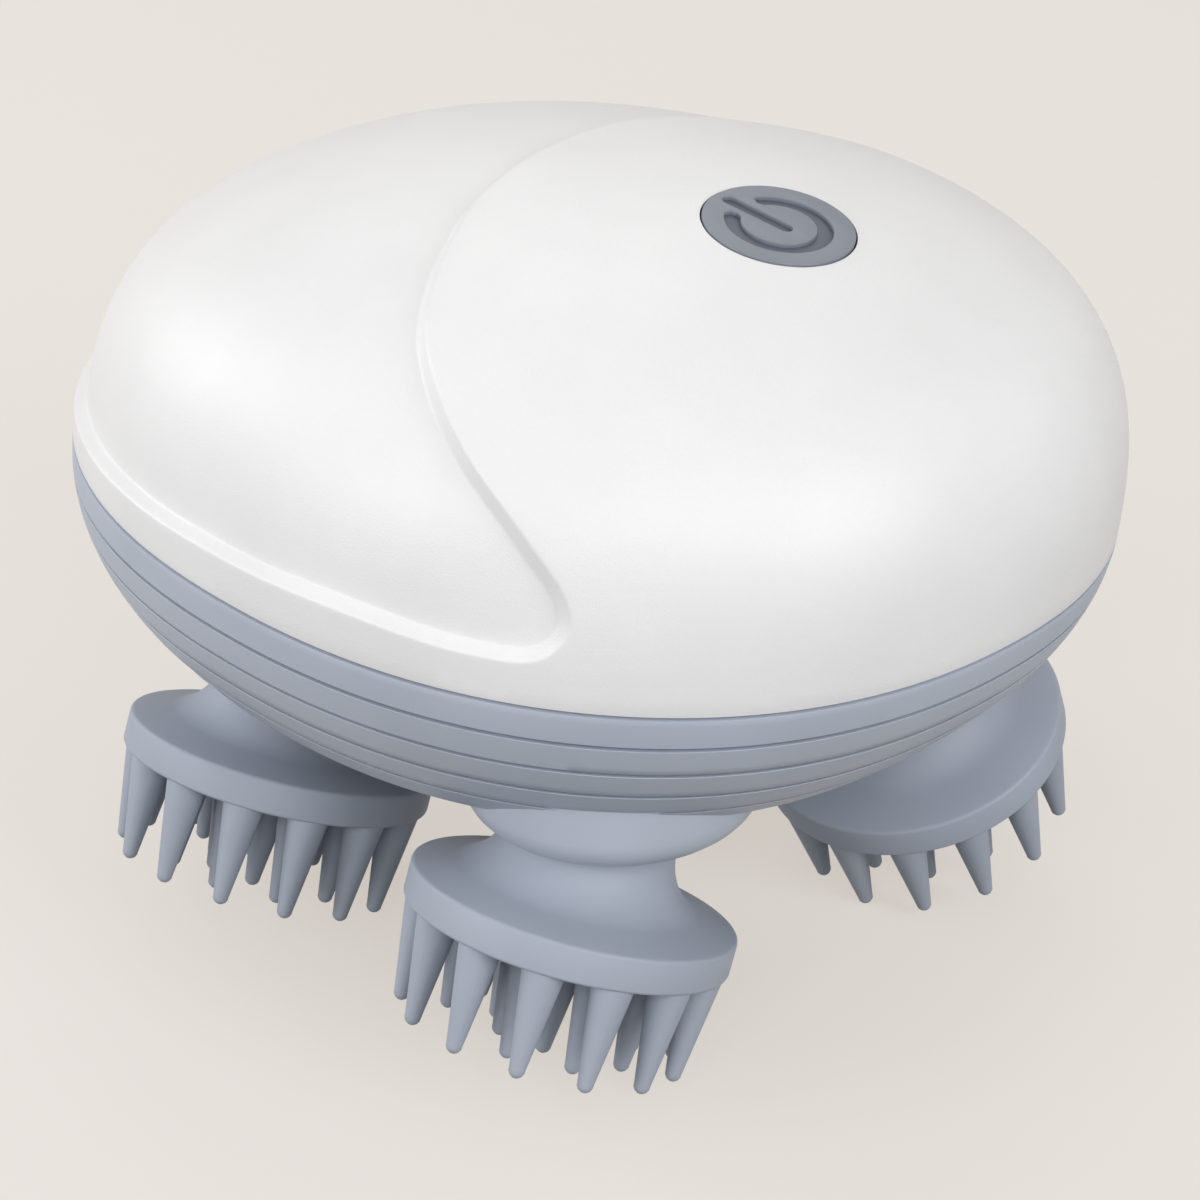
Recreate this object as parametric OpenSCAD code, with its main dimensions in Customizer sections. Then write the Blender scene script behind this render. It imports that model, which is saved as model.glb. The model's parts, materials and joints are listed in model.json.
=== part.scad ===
// Cordless scalp massager: an egg-shaped body on four tilted silicone heads.
// +X is the long axis, +Z is up and the pin tips stand on Z = 0.
// Four heads spin about axes that lean outwards, driven by one motor and worm.

/* [Body] */
// Length of the body along X
body_length = 124; // [118:1:130]
// Width of the body along Y
body_width = 103.8; // [99:0.5:109]
// Height of the widest section above the flat underside
girth_height = 19.5; // [18.5:0.5:20.5]
// Rise of the dome above the widest section, without its crown
dome_rise = 37; // [35:0.5:40]
// Extra rise at the middle of the dome
crown_rise = 2; // [1:0.25:3]
// Depth that the bowl would reach if its floor did not cut it off
bowl_depth = 35.1; // [34:0.5:37]
// Height of the flat underside above the table
underside_height = 34.5; // [34:0.25:35]
// Exponent of the plan outline, 2 being an ellipse
plan_exponent = 2.18; // [2:0.02:2.3]
// Exponent of the dome's side profile
dome_exponent = 2.75; // [2.5:0.05:2.9]
// Exponent of the bowl's side profile
bowl_exponent = 1.91; // [1.85:0.02:2]
// Share by which the plan is wider at its +X end
egg = 0.04; // [0:0.01:0.06]
// Shift of the top of the dome towards +X
dome_lean = 4.6; // [3:0.2:5]
// Shift of the bottom of the bowl towards -X
bowl_lean = 4.6; // [3:0.2:5]
// Wall thickness of both shells
wall = 2.2; // [2:0.1:2.6]
// Height of the seam above the widest section, at the middle of the body
seam_height = 1.2; // [0.5:0.1:2]
// Slope of the seam, which is higher at the -X end
seam_angle = 1.6; // [0:0.2:2]

/* [Base bands] */
// Height of each raised band round the base
band_height = 4; // [3.6:0.1:4.2]
// Number of grooves between the bands
groove_count = 4; // [1:1:4]
// Width of a groove at its mouth
groove_width = 0.4; // [0.3:0.05:0.6]
// Depth of a groove
groove_depth = 0.35; // [0.2:0.05:0.5]

/* [Wrap panel] */
// Depth by which the wrap panel lies below the rest of the dome
panel_depth = 1.4; // [0.8:0.1:1.5]
// Height of the panel's lower edge above the seam
panel_ledge = 5; // [4:0.25:6]

/* [Heads] */
// X of the middle of the four heads
heads_x = 2.9; // [2.5:0.1:3.5]
// Y distance of each head's pivot point from the middle plane
head_dy = 21.9; // [21.5:0.1:22.3]
// Height of the pivot point above the underside, where each head axis crosses its hub axis
pivot_height = 0.7; // [0.4:0.1:1]
// Outward lean of each head axis
head_tilt = 21.3; // [20:0.1:22]
// Radius of a head's disc
disc_r = 18.1; // [17.5:0.1:18.5]
// Height of the disc's band
disc_band = 3.9; // [3.5:0.1:4.2]
// Distance from the pivot point down to the top edge of the band
disc_drop = 15.6; // [15.4:0.1:15.9]
// Radius of the neck under the hub
neck_r = 9.2; // [8.8:0.1:9.4]
// Radius of the hub boss on the base
hub_r = 16.2; // [15.8:0.1:16.6]
// Depth of the hub's flat face below the underside
hub_depth = 4.4; // [4.1:0.1:4.7]
// Rounding of the hub's lower edge
hub_round = 4; // [3:0.25:4.4]

/* [Pins] */
// Radius of a pin at its root
pin_root_r = 2.4; // [2:0.1:2.5]
// Radius of a pin's round tip
pin_tip_r = 0.9; // [0.7:0.05:1.1]
// Number of pins in the outer ring
outer_pins = 13; // [11:1:13]
// Number of pins in the middle ring
middle_pins = 9; // [7:1:9]
// Number of pins in the inner ring
inner_pins = 6; // [4:1:6]
// Radius of the outer ring of pins
outer_ring_r = 15.4; // [15:0.1:15.5]
// Radius of the middle ring of pins
middle_ring_r = 10.4; // [10.2:0.1:10.5]
// Radius of the inner ring of pins
inner_ring_r = 5.3; // [5:0.1:5.4]

/* [Gears] */
// Module of every gear
gear_module = 1; // [0.98:0.01:1.01]
// Teeth of a head gear
head_teeth = 30; // [28:2:30]
// Teeth of a pinion
pinion_teeth = 18; // [16:2:18]
// Pitch radius of the worm
worm_pitch_r = 3.6; // [3.4:0.1:3.8]
// Gap between the flanks of meshed teeth, on each side
flank_gap = 0.13; // [0.1:0.01:0.18]
// Thickness of a head gear
gear_width = 4.5; // [4:0.1:4.8]
// Thickness of a worm wheel
wheel_width = 4; // [3:0.1:4.2]

/* [Shafts and fits] */
// Radius of a head shaft
shaft_r = 3; // [2.9:0.05:3.1]
// Radius of a fixed wheel axle
axle_r = 1.5; // [1.4:0.05:1.6]
// Radius of the motor shaft
motor_shaft_r = 1; // [0.9:0.05:1.1]
// Radial clearance of a running fit
run_gap = 0.05; // [0.03:0.01:0.08]
// Radial clearance of a fixed fit
fixed_gap = 0.03; // [0.02:0.01:0.05]
// Outer radius of a bush
bush_r = 4.5; // [4.3:0.1:4.6]

/* [Motor and battery] */
// Radius of the motor's round sides
motor_r = 10; // [9.6:0.1:10.1]
// Height of the motor between its flats
motor_flat = 15; // [14.6:0.1:15.2]
// Length of the motor can
motor_length = 25; // [23:0.5:25]
// Radius of the battery cell
cell_r = 9.2; // [9:0.1:9.3]
// Length of the battery cell
cell_length = 65; // [60:0.5:65.5]

/* [Button] */
// X of the button's middle on the dome
button_x = 29.2; // [28:0.2:30.4]
// Radius of the button cap
button_r = 8.05; // [7.6:0.05:8.3]
// Gap round the button cap
button_gap = 0.2; // [0.1:0.05:0.3]
// Travel of the button
button_travel = 0.6; // [0.4:0.1:0.8]
// Depth of the power symbol
symbol_depth = 0.5; // [0.3:0.1:0.7]

/* [Fasteners] */
// Radius of a shell screw's shank
shell_screw_r = 1.25; // [1.1:0.05:1.3]
// Radius of a shell screw's head
shell_head_r = 2.4; // [2.2:0.1:2.5]
// Radius of a small screw's shank
small_screw_r = 0.95; // [0.85:0.05:1]
// Radius of a small screw's head
small_head_r = 1.8; // [1.7:0.1:1.9]

/* [Hidden] */
$fn = 48;
eps = 0.01;

// Each head: its name, its side along X and its side along Y
HEADS = [["front_right", 1, -1], ["front_left", -1, -1], ["back_right", 1, 1], ["back_left", -1, 1]];

// ---- Body surface ----
half_length = body_length / 2;
half_width = body_width / 2;
girth_z = underside_height + girth_height;
seam_mid_z = girth_z + seam_height;
pivot_z = underside_height + pivot_height;
hub_underside = underside_height - hub_depth;
plan_steps = 96;
inner_steps = 60;
crown_reach = 0.65;
seam_slope = -tan(seam_angle);

function signed_power(v, p) = sign(v) * pow(abs(v), p);
function plan_x(a) = signed_power(cos(a), 2 / plan_exponent);
function plan_y(a) = signed_power(sin(a), 2 / plan_exponent) * (1 + egg * plan_x(a));

// Share of the widest section left at height z, for a surface lying inset mm inside the outer one
function profile_share(level, exponent) = pow(max(0, 1 - pow(level, exponent)), 1 / exponent);
function dome_share(z, inset) = profile_share((z - girth_z) / (dome_rise - inset), dome_exponent);
function bowl_share(z, inset) = profile_share((girth_z - z) / (bowl_depth - inset), bowl_exponent);
function section_share(z, inset) = z > girth_z ? dome_share(z, inset) : bowl_share(z, inset);
// Shift of the section at height z along X, with the outermost points evenly about the origin
body_shift = -0.275;
function lean(z) = body_shift + (z > girth_z
    ? dome_lean * (z - girth_z) / dome_rise
    : -bowl_lean * (girth_z - z) / bowl_depth);
function crown(s) = s < crown_reach ? crown_rise * pow(1 - pow(s / crown_reach, 2), 2) : 0;
// Height of the dome where its section has share s
function dome_height(s, inset) = girth_z + (dome_rise - inset) * profile_share(s, dome_exponent);

function at_share(a, s, z, inset) = [
    plan_x(a) * (half_length - inset) * s + lean(z),
    plan_y(a) * (half_width - inset) * s
];
// Level ring at height z
function level_ring(z, inset, steps) = [for (i = [0:steps - 1])
    let (p = at_share(360 * i / steps, section_share(z, inset), z, inset)) [p[0], p[1], z]];
// Ring parallel to the seam, drop mm below it
function seam_z(x) = seam_mid_z + seam_slope * x;
function ring_x(a, z, inset) = at_share(a, section_share(z, inset), z, inset)[0];
function banded_z(a, drop, inset, n) = n == 0
    ? seam_mid_z - drop
    : seam_z(ring_x(a, banded_z(a, drop, inset, n - 1), inset)) - drop;
function banded_ring(drop, inset, shrink, steps) = [for (i = [0:steps - 1])
    let (a = 360 * i / steps, z = banded_z(a, drop, inset, 4))
    let (p = at_share(a, section_share(z, inset), z, inset + shrink)) [p[0], p[1], z]];
// Ring of the dome by share, with the crown added
function dome_ring(s, inset, steps) = [for (i = [0:steps - 1])
    let (z = dome_height(s, inset), p = at_share(360 * i / steps, s, z, inset)) [p[0], p[1], z + crown(s)]];

// Closed skin through a list of rings, all with the same number of points, from the lowest up
module skin(rings) {
    steps = len(rings[0]);
    last = len(rings) - 1;
    points = [for (r = rings) each r];
    sides = [for (r = [0:last - 1], i = [0:steps - 1])
        let (j = (i + 1) % steps, low = r * steps, high = low + steps)
        each [[low + i, high + i, high + j], [low + i, high + j, low + j]]];
    bottom = [[for (i = [0:steps - 1]) i]];
    top = [[for (i = [0:steps - 1]) last * steps + steps - 1 - i]];
    polyhedron(points, concat(sides, bottom, top), convexity = 6);
}

// The dome is thicker than the base, as the panel is sunk into it
dome_inset = wall + 0.6 * panel_depth;
dome_shares = [0.985, 0.955, 0.91, 0.85, 0.78, 0.7, 0.62, 0.54, 0.46, 0.38, 0.3, 0.22, 0.14, 0.06];
module dome_solid(inset, steps) {
    skin(concat(
        [level_ring(girth_z - 6, inset, steps), level_ring(girth_z, inset, steps),
         level_ring(girth_z + 8, inset, steps)],
        [for (s = dome_shares) dome_ring(s, inset, steps)]
    ));
}

groove_drops = [for (k = [1:groove_count]) each [
    [k * band_height - groove_width / 2, 0],
    [k * band_height, groove_depth],
    [k * band_height + groove_width / 2, 0]
]];
floor_height = underside_height + wall;
edge_round = 1.2;
module bowl_outer() {
    skin(concat(
        [level_ring(underside_height, edge_round, plan_steps),
         level_ring(underside_height + edge_round * 0.3, edge_round * 0.3, plan_steps),
         level_ring(underside_height + edge_round, 0, plan_steps)],
        [for (k = [len(groove_drops) - 1:-1:0])
            banded_ring(groove_drops[k][0], 0, groove_drops[k][1], plan_steps)],
        [level_ring(girth_z + 5, 0, plan_steps)]
    ));
}
module bowl_inner() {
    skin([for (z = [floor_height, floor_height + 4, floor_height + 9, girth_z, girth_z + 8])
        level_ring(z, wall, inner_steps)]);
}

// Frame of the seam, with Z square to it
module at_seam() {
    translate([0, 0, seam_mid_z]) rotate([0, seam_angle, 0]) children();
}
// Upright prism with the plan of the seam, inset mm inside the outline
module seam_prism(inset, height) {
    linear_extrude(height) polygon([for (i = [0:plan_steps - 1])
        at_share(360 * i / plan_steps, section_share(seam_mid_z, 0), seam_mid_z, inset)]);
}
module seam_band(outer_inset, inner_inset, bottom, height) {
    at_seam() translate([0, 0, bottom]) difference() {
        seam_prism(outer_inset, height);
        translate([0, 0, -1]) seam_prism(inner_inset, height + 2);
    }
}
// Tongue of the top shell, rebate of the base shell and the gasket between them
rebate_inset = 1.1;
rebate_depth = 2;
tongue_gap = 0.15;
tongue_thickness = 0.8;
tongue_depth = 1.3;
tongue_fuse = 1.5;
body_span = 2 * body_length;

// Wrap panel: seen from above, an arc over the dome from vertex to a knee on each side;
// seen from the side, a straight edge from the knee down to a round tip that ends at the ledge
panel_vertex = [-1.2, 5];
panel_knee = [13.7, 36.2];
panel_tip_x = 34.8;
panel_tip_r = 5.5;
panel_edge_slope = 32.6;
panel_arc_steps = 10;
// Arc from the vertex to the knee, reach mm away in Y
function panel_arc(reach) =
    let (run = panel_knee[0] - panel_vertex[0])
    let (r = (reach * reach + run * run) / (2 * run), turn = asin(reach / r))
    [for (i = [0:panel_arc_steps]) let (a = turn * i / panel_arc_steps) [r * (1 - cos(a)), r * sin(a)]];
module panel_top() {
    front = [for (p = panel_arc(panel_knee[1] + panel_vertex[1])) panel_vertex + [p[0], -p[1]]];
    back = [for (p = panel_arc(panel_knee[1] - panel_vertex[1])) panel_vertex + p];
    linear_extrude(2 * body_length) polygon(concat(
        [for (i = [panel_arc_steps:-1:1]) back[i]],
        front,
        [[-body_length, -panel_knee[1]], [-body_length, panel_knee[1]]]
    ));
}
module panel_side(side) {
    tip_z = seam_z(panel_tip_x) + panel_ledge + panel_tip_r;
    arc_steps = 12;
    rise = (panel_tip_x - panel_knee[0]) * tan(panel_edge_slope) + panel_tip_r / cos(panel_edge_slope);
    translate([0, side > 0 ? body_width : -panel_knee[1], 0]) rotate([90, 0, 0])
        linear_extrude(body_width - panel_knee[1]) polygon(concat(
            [[-body_length, 0], [-body_length, 2 * body_length], [panel_knee[0], 2 * body_length],
             [panel_knee[0], tip_z + rise]],
            [for (i = [0:arc_steps])
                let (a = 90 - panel_edge_slope - (180 - panel_edge_slope) * i / arc_steps)
                [panel_tip_x + panel_tip_r * cos(a), tip_z + panel_tip_r * sin(a)]],
            [[panel_tip_x, 0]]
        ));
}
module panel_prism() {
    difference() {
        union() {
            panel_top();
            for (side = [-1, 1]) panel_side(side);
        }
        at_seam() translate([-body_span / 2, -body_span / 2, -body_length])
            cube([body_span, body_span, body_length + panel_ledge]);
    }
}

// ---- Frames of the heads and wheels ----
head_dx = gear_module * (head_teeth + pinion_teeth) / 2;
// Frame of a head: origin at its pivot point, +Z up along its axis
module at_head(h) {
    translate([heads_x + h[1] * head_dx, h[2] * head_dy, pivot_z])
        rotate([h[2] * head_tilt, 0, 0]) children();
}
// Frame of the worm wheel on the front (-1) or back (1) side
module at_wheel(side) {
    translate([heads_x, side * head_dy, pivot_z]) rotate([side * head_tilt, 0, 0]) children();
}
module at_each_head() {
    for (h = HEADS) at_head(h) children();
}

// Heights along a head's axis, from its pivot point
recess_top = 0.2;
seal_top = recess_top + 1;
hub_boss_top = 2.8;
lower_boss_top = 7.6;
bush_flange = 0.7;
gear_bottom = lower_boss_top + bush_flange + 0.2;
gear_top = gear_bottom + gear_width;
deck_bottom = gear_top + 1.5;
deck_thickness = 2;
deck_top = deck_bottom + deck_thickness;
upper_flange = 0.8;
clip_bottom = deck_top + upper_flange + 0.25;
clip_thickness = 0.8;
shaft_top = clip_bottom + clip_thickness + 1;
neck_top = -1;
band_bottom = -disc_drop - disc_band;
// Rings of pins: count, radius and angle of the first pin
pin_rings = [
    [outer_pins, outer_ring_r, 0], [middle_pins, middle_ring_r, -14], [inner_pins, inner_ring_r, 42]
];
// The lowest pin tip of each head stands on Z = 0
lowest_v = min([for (i = [0:outer_pins - 1]) -outer_ring_r * sin(360 * i / outer_pins)]);
tip_plane = (pin_tip_r - pivot_z - lowest_v * sin(head_tilt)) / cos(head_tilt) - pin_tip_r;
recess_r = neck_r + 1;
hub_boss_r = recess_r + 2;
lower_boss_r = bush_r + 2.1;
seal_r = 6;
bush_flange_r = 5.8;

// ---- Worm drive ----
wheel_teeth = 20;
wheel_pitch_r = gear_module * wheel_teeth / 2;
worm_lead = PI * gear_module;
worm_length = 12.5;
worm_addendum = 0.9 * gear_module;
worm_dedendum = 1.1 * gear_module;
worm_distance = wheel_pitch_r + worm_pitch_r;
// The worm lies in the middle plane of both wheels, over the middle of the body
worm_rise = (head_dy * cos(head_tilt) - worm_distance) / sin(head_tilt);
worm_z = pivot_z + worm_rise;
wheel_mid = head_dy * sin(head_tilt) + worm_rise * cos(head_tilt);
wheel_bottom = wheel_mid - wheel_width / 2;
wheel_top = wheel_mid + wheel_width / 2;
pinion_bottom = gear_bottom - 0.2;
pinion_top = gear_top + 0.4;
sleeve_r = 4.6;
axle_bottom = 2.2;
axle_top = 31;
axle_boss_r = 3.8;
axle_cap_bottom = wheel_top + 0.7;

// Involute gear outline with a tooth centred on +X
pressure_angle = 20;
function involute(base_r, r) = let (t = sqrt(max(0, pow(r / base_r, 2) - 1))) t * 180 / PI - atan(t);
function gear_points(teeth, addendum, dedendum, gap) =
    let (pitch_r = gear_module * teeth / 2, base_r = pitch_r * cos(pressure_angle))
    let (root_r = pitch_r - dedendum, tip_r = pitch_r + addendum, start_r = max(base_r, root_r + eps))
    let (half = 90 / teeth - gap / pitch_r * 180 / PI + involute(base_r, pitch_r))
    let (flank = [for (k = [0:3])
        let (r = start_r + (tip_r - start_r) * k / 3) [r, half - involute(base_r, r)]])
    let (edge = concat([[root_r, flank[0][1] + 0.4]], flank))
    [for (t = [0:teeth - 1]) let (a = 360 * t / teeth) each concat(
        [for (k = [0:4]) let (p = edge[k]) [p[0] * cos(a - p[1]), p[0] * sin(a - p[1])]],
        [for (k = [4:-1:0]) let (p = edge[k]) [p[0] * cos(a + p[1]), p[0] * sin(a + p[1])]]
    )];
head_gear_addendum = gear_module;
head_gear_dedendum = 1.2 * gear_module;

module cyl(r, bottom, top) {
    translate([0, 0, bottom]) cylinder(h = top - bottom, r = r);
}
module ring(outer_r, inner_r, bottom, top) {
    difference() {
        cyl(outer_r, bottom, top);
        cyl(inner_r, bottom - 1, top + 1);
    }
}

// ---- Fasteners ----
// Height where a shell screw's two posts meet
post_meet = seam_mid_z - 4.2;
shell_post_r = 3.6;
shell_head_seat = underside_height + 5.5;
screw_bite = 9;
shell_screw_length = post_meet - shell_head_seat + screw_bite;
head_well_r = shell_head_r + 0.35;
post_depth = screw_bite + 0.6;
// Deck posts stand along the head axes, beyond the head gears
deck_post_dx = head_dx + gear_module * (head_teeth / 2 + 1) + 4.5;
deck_post_r = 3.2;
deck_screw_length = 8;
module at_deck_posts() {
    for (side = [-1, 1], dx = [-deck_post_dx, deck_post_dx]) at_wheel(side) translate([dx, 0, 0]) children();
}
// Screw along +Z with its head on top of seat
module screw_down(seat, length, shank_r, head_r, head_height) {
    cyl(shank_r, seat - length, seat);
    difference() {
        cyl(head_r, seat, seat + head_height);
        translate([-head_r, -0.25, seat + head_height / 2]) cube([2 * head_r, 0.5, head_height]);
        translate([-0.25, -head_r, seat + head_height / 2]) cube([0.5, 2 * head_r, head_height]);
    }
}
small_head_height = 1.2;
module small_screw(seat, length) {
    screw_down(seat, length, small_screw_r, small_head_r, small_head_height);
}

// ---- Battery, motor and bridge ----
wheel_tip_r = wheel_pitch_r + worm_addendum;
motor_front_x = heads_x + wheel_tip_r + 2.4;
motor_back_x = motor_front_x + motor_length;
motor_cap_length = 2;
motor_nose = [3, 1.2];
motor_lug_y = 6;
saddle_xs = [motor_front_x + 3.5, motor_back_x - 4.5];
saddle_thickness = 2;
saddle_half_y = 12.5;
saddle_gap = 0.1;
deck_side_v = 8.6;
deck_ear_r = 3.7;
valley_z = pivot_z + (deck_top - head_dy * sin(head_tilt)) / cos(head_tilt);
bridge_z = worm_z + motor_flat / 2 + 1.1;
bridge_thickness = 2;
bridge_pad_width = 12;
bridge_half_y = 14.5;
bridge_post_r = 2.4;
// Each post of the bridge and its foot: X from the middle of the heads and Y out from the head axes
bridge_posts = [[motor_back_x - heads_x - 5.5, 2.7], [-wheel_tip_r - bridge_post_r - 1, 1.3]];
bridge_feet = [bridge_posts[0] + [5.2, 0], bridge_posts[1] + [0, 5.6]];
foot_thickness = 2;
foot_r = 2.6;
bridge_screw_length = 3.8;
shaft_bearing_length = 2.5;
shaft_bearing_x = heads_x - wheel_tip_r - shaft_bearing_length - 1.3;
shaft_end_x = shaft_bearing_x - 0.3;
bridge_x = [shaft_bearing_x - 1.3, motor_back_x - 1.5];
cell_terminal_r = 3;
cell_x = shaft_bearing_x - cell_r - 8.1;
cell_z = worm_z + 11;
cradle_thickness = 1.6;
cradle_gap = 0.15;
cradle_length = cell_length + 2 * cradle_thickness + 0.6;
cradle_leg_dx = cell_r + 1.3;
cradle_leg_v = 9;
cradle_leg_r = 2.5;
cradle_leg_top = deck_top + 7;
cradle_screw_seat = deck_bottom + 0.8;
cradle_screw_length = 6;

// X and Y of the shell screws: one behind the motor, one at the port end and one at each side
screw_motor_gap = 1.4;
screw_end_inset = 15.7;
screw_side_inset = 13.9;
shell_screws_at = [
    [motor_back_x + motor_cap_length + screw_motor_gap + shell_post_r, 0],
    [-half_length + screw_end_inset, 0],
    [heads_x, half_width - screw_side_inset], [heads_x, -half_width + screw_side_inset]
];
module at_shell_screws() {
    for (p = shell_screws_at) translate([p[0], p[1], 0]) children();
}

module along_x(x) {
    translate([x, 0, worm_z]) rotate([90, 0, 90]) children();
}
module motor_section(gap) {
    intersection() {
        circle(motor_r + gap);
        square([2 * motor_r + 4, motor_flat + 2 * gap], center = true);
    }
}
module at_cradle_legs() {
    for (side = [-1, 1], dx = [-cradle_leg_dx, cradle_leg_dx])
        at_wheel(side) translate([cell_x - heads_x + dx, side * cradle_leg_v, 0]) children();
}
module at_bridge_feet() {
    for (side = [-1, 1], f = bridge_feet) at_wheel(side) translate([f[0], side * f[1], 0]) children();
}

// ---- Charging port ----
port_z = seam_mid_z - 6.7;
port_face_x = 1 - half_length;
socket_front_x = port_face_x + 1.5;
socket_length = 7.5;
socket_size = [9, 3.3];
socket_wall = 0.3;
socket_depth = 6;
flange_size = [13.6, 7.2];
flange_thickness = 0.8;
tongue_reach = 4.5;
port_gap = 0.1;
charge_board_x = [socket_front_x + 1.9, socket_front_x + 8.8];
charge_board_half_y = 9;
charge_board_thickness = 1.2;
charge_board_top = port_z - socket_size[1] / 2;
charge_post_y = 7;
charge_post_x = socket_front_x + 5.2;
charge_post_r = 1.8;
charge_screw_length = 4;
// Flat oval, long way along Y, extruded along +X from x
module oval_x(x, size, length) {
    translate([x, 0, port_z]) rotate([90, 0, 90]) linear_extrude(length) {
        square([size[0] - size[1], size[1]], center = true);
        for (s = [-1, 1]) translate([s * (size[0] - size[1]) / 2, 0]) circle(size[1] / 2);
    }
}
module at_charge_posts() {
    for (s = [-1, 1]) translate([charge_post_x, s * charge_post_y, 0]) children();
}

// ---- Button and its board ----
function share_at_x(x, n) = n == 0
    ? x / half_length
    : (x - lean(dome_height(share_at_x(x, n - 1), 0))) / half_length;
button_share = share_at_x(button_x, 6);
function ridge_x(s) = half_length * s + lean(dome_height(s, 0));
function ridge_z(s) = dome_height(s, 0) + crown(s);
slope_step = 0.01;
button_tilt = atan((ridge_z(button_share - slope_step) - ridge_z(button_share + slope_step))
    / (ridge_x(button_share + slope_step) - ridge_x(button_share - slope_step)));
module at_button() {
    translate([button_x, 0, ridge_z(button_share)]) rotate([0, button_tilt, 0]) children();
}
// Depths below the dome, along the button's own axis
cap_top = -0.15;
cap_seat = -3.1;
flange_top = cap_seat - 0.1;
cap_flange_thickness = 0.9;
flange_bottom = flange_top - cap_flange_thickness;
cap_flange_r = button_r + 1.25;
collar_r = cap_flange_r + 2.3;
collar_bottom = flange_bottom - button_travel - 1.3;
gasket_thickness = 0.6;
stem_r = 2;
stem_bottom = collar_bottom - gasket_thickness - 1;
plunger_r = 1.75;
switch_top = stem_bottom - 0.9;
switch_height = 3.5;
switch_side = 6;
board_top = switch_top - switch_height;
board_thickness = 1.6;
board_size = [34, 24];
board_posts = [14, 9];
board_post_r = 2.2;
board_screw_length = 5;
module at_board_posts() {
    for (sx = [-1, 1], sy = [-1, 1])
        at_button() translate([sx * board_posts[0], sy * board_posts[1], 0]) children();
}
// Power symbol: an open ring and a bar
symbol_ring = [0.5, 0.71];
symbol_bar_width = 1.3;
symbol_bar = [-0.8, 0.1];
symbol_turn = 8;
symbol_opening = 4.2;
module symbol_shape() {
    rotate(symbol_turn) {
        difference() {
            circle(symbol_ring[1] * button_r);
            circle(symbol_ring[0] * button_r);
            translate([-button_r, -symbol_opening / 2]) square([button_r, symbol_opening]);
        }
        translate([symbol_bar[0] * button_r, -symbol_bar_width / 2])
            square([(symbol_bar[1] - symbol_bar[0]) * button_r, symbol_bar_width]);
        for (e = symbol_bar) translate([e * button_r, 0]) circle(symbol_bar_width / 2);
    }
}

// ---- Shells ----
shell_grey = "slategray";
module top_posts() {
    at_shell_screws() cyl(shell_post_r, post_meet, girth_z + dome_rise);
    at_button() cyl(collar_r, collar_bottom, 0);
    at_board_posts() cyl(board_post_r, board_top, 0);
}
module below_seam() {
    at_seam() translate([-body_span / 2, -body_span / 2, -body_length])
        cube([body_span, body_span, body_length]);
}
module above_seam() {
    at_seam() translate([-body_span / 2, -body_span / 2, 0])
        cube([body_span, body_span, body_length]);
}
module dome_with_panel() {
    difference() {
        dome_solid(0, plan_steps);
        panel_prism();
    }
    dome_solid(panel_depth, plan_steps);
}
module top_shell() {
    color("white") difference() {
        union() {
            difference() {
                dome_with_panel();
                difference() {
                    dome_solid(dome_inset, inner_steps);
                    top_posts();
                }
                below_seam();
            }
            tongue_inset = rebate_inset + tongue_gap;
            tongue_inner = tongue_inset + tongue_thickness;
            seam_band(tongue_inset, tongue_inner, -tongue_depth, tongue_depth + tongue_fuse);
            at_shell_screws() cyl(shell_post_r, post_meet, girth_z + 6);
        }
        at_shell_screws() cyl(shell_screw_r + run_gap, post_meet - 1, post_meet + post_depth);
        at_button() {
            cyl(button_r + button_gap, collar_bottom - 1, 3);
            cyl(cap_flange_r + 0.3, collar_bottom - 1, cap_seat);
        }
        at_board_posts() cyl(small_screw_r + fixed_gap, board_top - 1, board_top + board_screw_length);
    }
}
module hubs() {
    for (h = HEADS) translate([heads_x + h[1] * head_dx, h[2] * head_dy, 0]) {
        cyl(hub_r, hub_underside + hub_round, floor_height + 7);
        cyl(hub_r - hub_round, hub_underside, underside_height);
        translate([0, 0, hub_underside + hub_round])
            rotate_extrude() translate([hub_r - hub_round, 0]) circle(hub_round);
    }
}
module base_posts() {
    at_shell_screws() cyl(shell_post_r, underside_height, post_meet);
    at_deck_posts() cyl(deck_post_r, -6, deck_bottom);
    at_each_head() {
        cyl(hub_boss_r, -hub_boss_r, hub_boss_top);
        cyl(lower_boss_r, 0, lower_boss_top);
    }
    for (side = [-1, 1]) at_wheel(side) cyl(axle_boss_r, -2, pinion_bottom - 0.2);
    at_charge_posts() cyl(charge_post_r, underside_height, charge_board_top - charge_board_thickness);
}
module base_shell() {
    color(shell_grey) difference() {
        union() {
            bowl_outer();
            hubs();
        }
        difference() {
            bowl_inner();
            base_posts();
        }
        above_seam();
        at_seam() translate([0, 0, -rebate_depth]) seam_prism(rebate_inset, rebate_depth + 1);
        at_shell_screws() {
            cyl(head_well_r, hub_underside, shell_head_seat);
            cyl(shell_screw_r + 0.2, shell_head_seat - 1, post_meet + 1);
        }
        at_each_head() {
            cyl(recess_r, 2 * tip_plane, recess_top);
            cyl(seal_r, recess_top - 1, seal_top);
            cyl(bush_r + fixed_gap, seal_top - 1, lower_boss_top + 1);
        }
        at_deck_posts() cyl(small_screw_r + fixed_gap, deck_top - deck_screw_length - 0.5, deck_bottom + 1);
        for (side = [-1, 1]) at_wheel(side) cyl(axle_r + fixed_gap, axle_bottom, pinion_bottom + 1);
        at_charge_posts()
            cyl(small_screw_r + fixed_gap, charge_board_top - charge_screw_length - 0.5, charge_board_top);
        oval_x(port_face_x - 4, [flange_size[0] + 2 * port_gap, flange_size[1] + 2 * port_gap], 4);
        oval_x(port_face_x - 1, [socket_size[0] + 0.4, socket_size[1] + 0.4], 4);
    }
}
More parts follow.
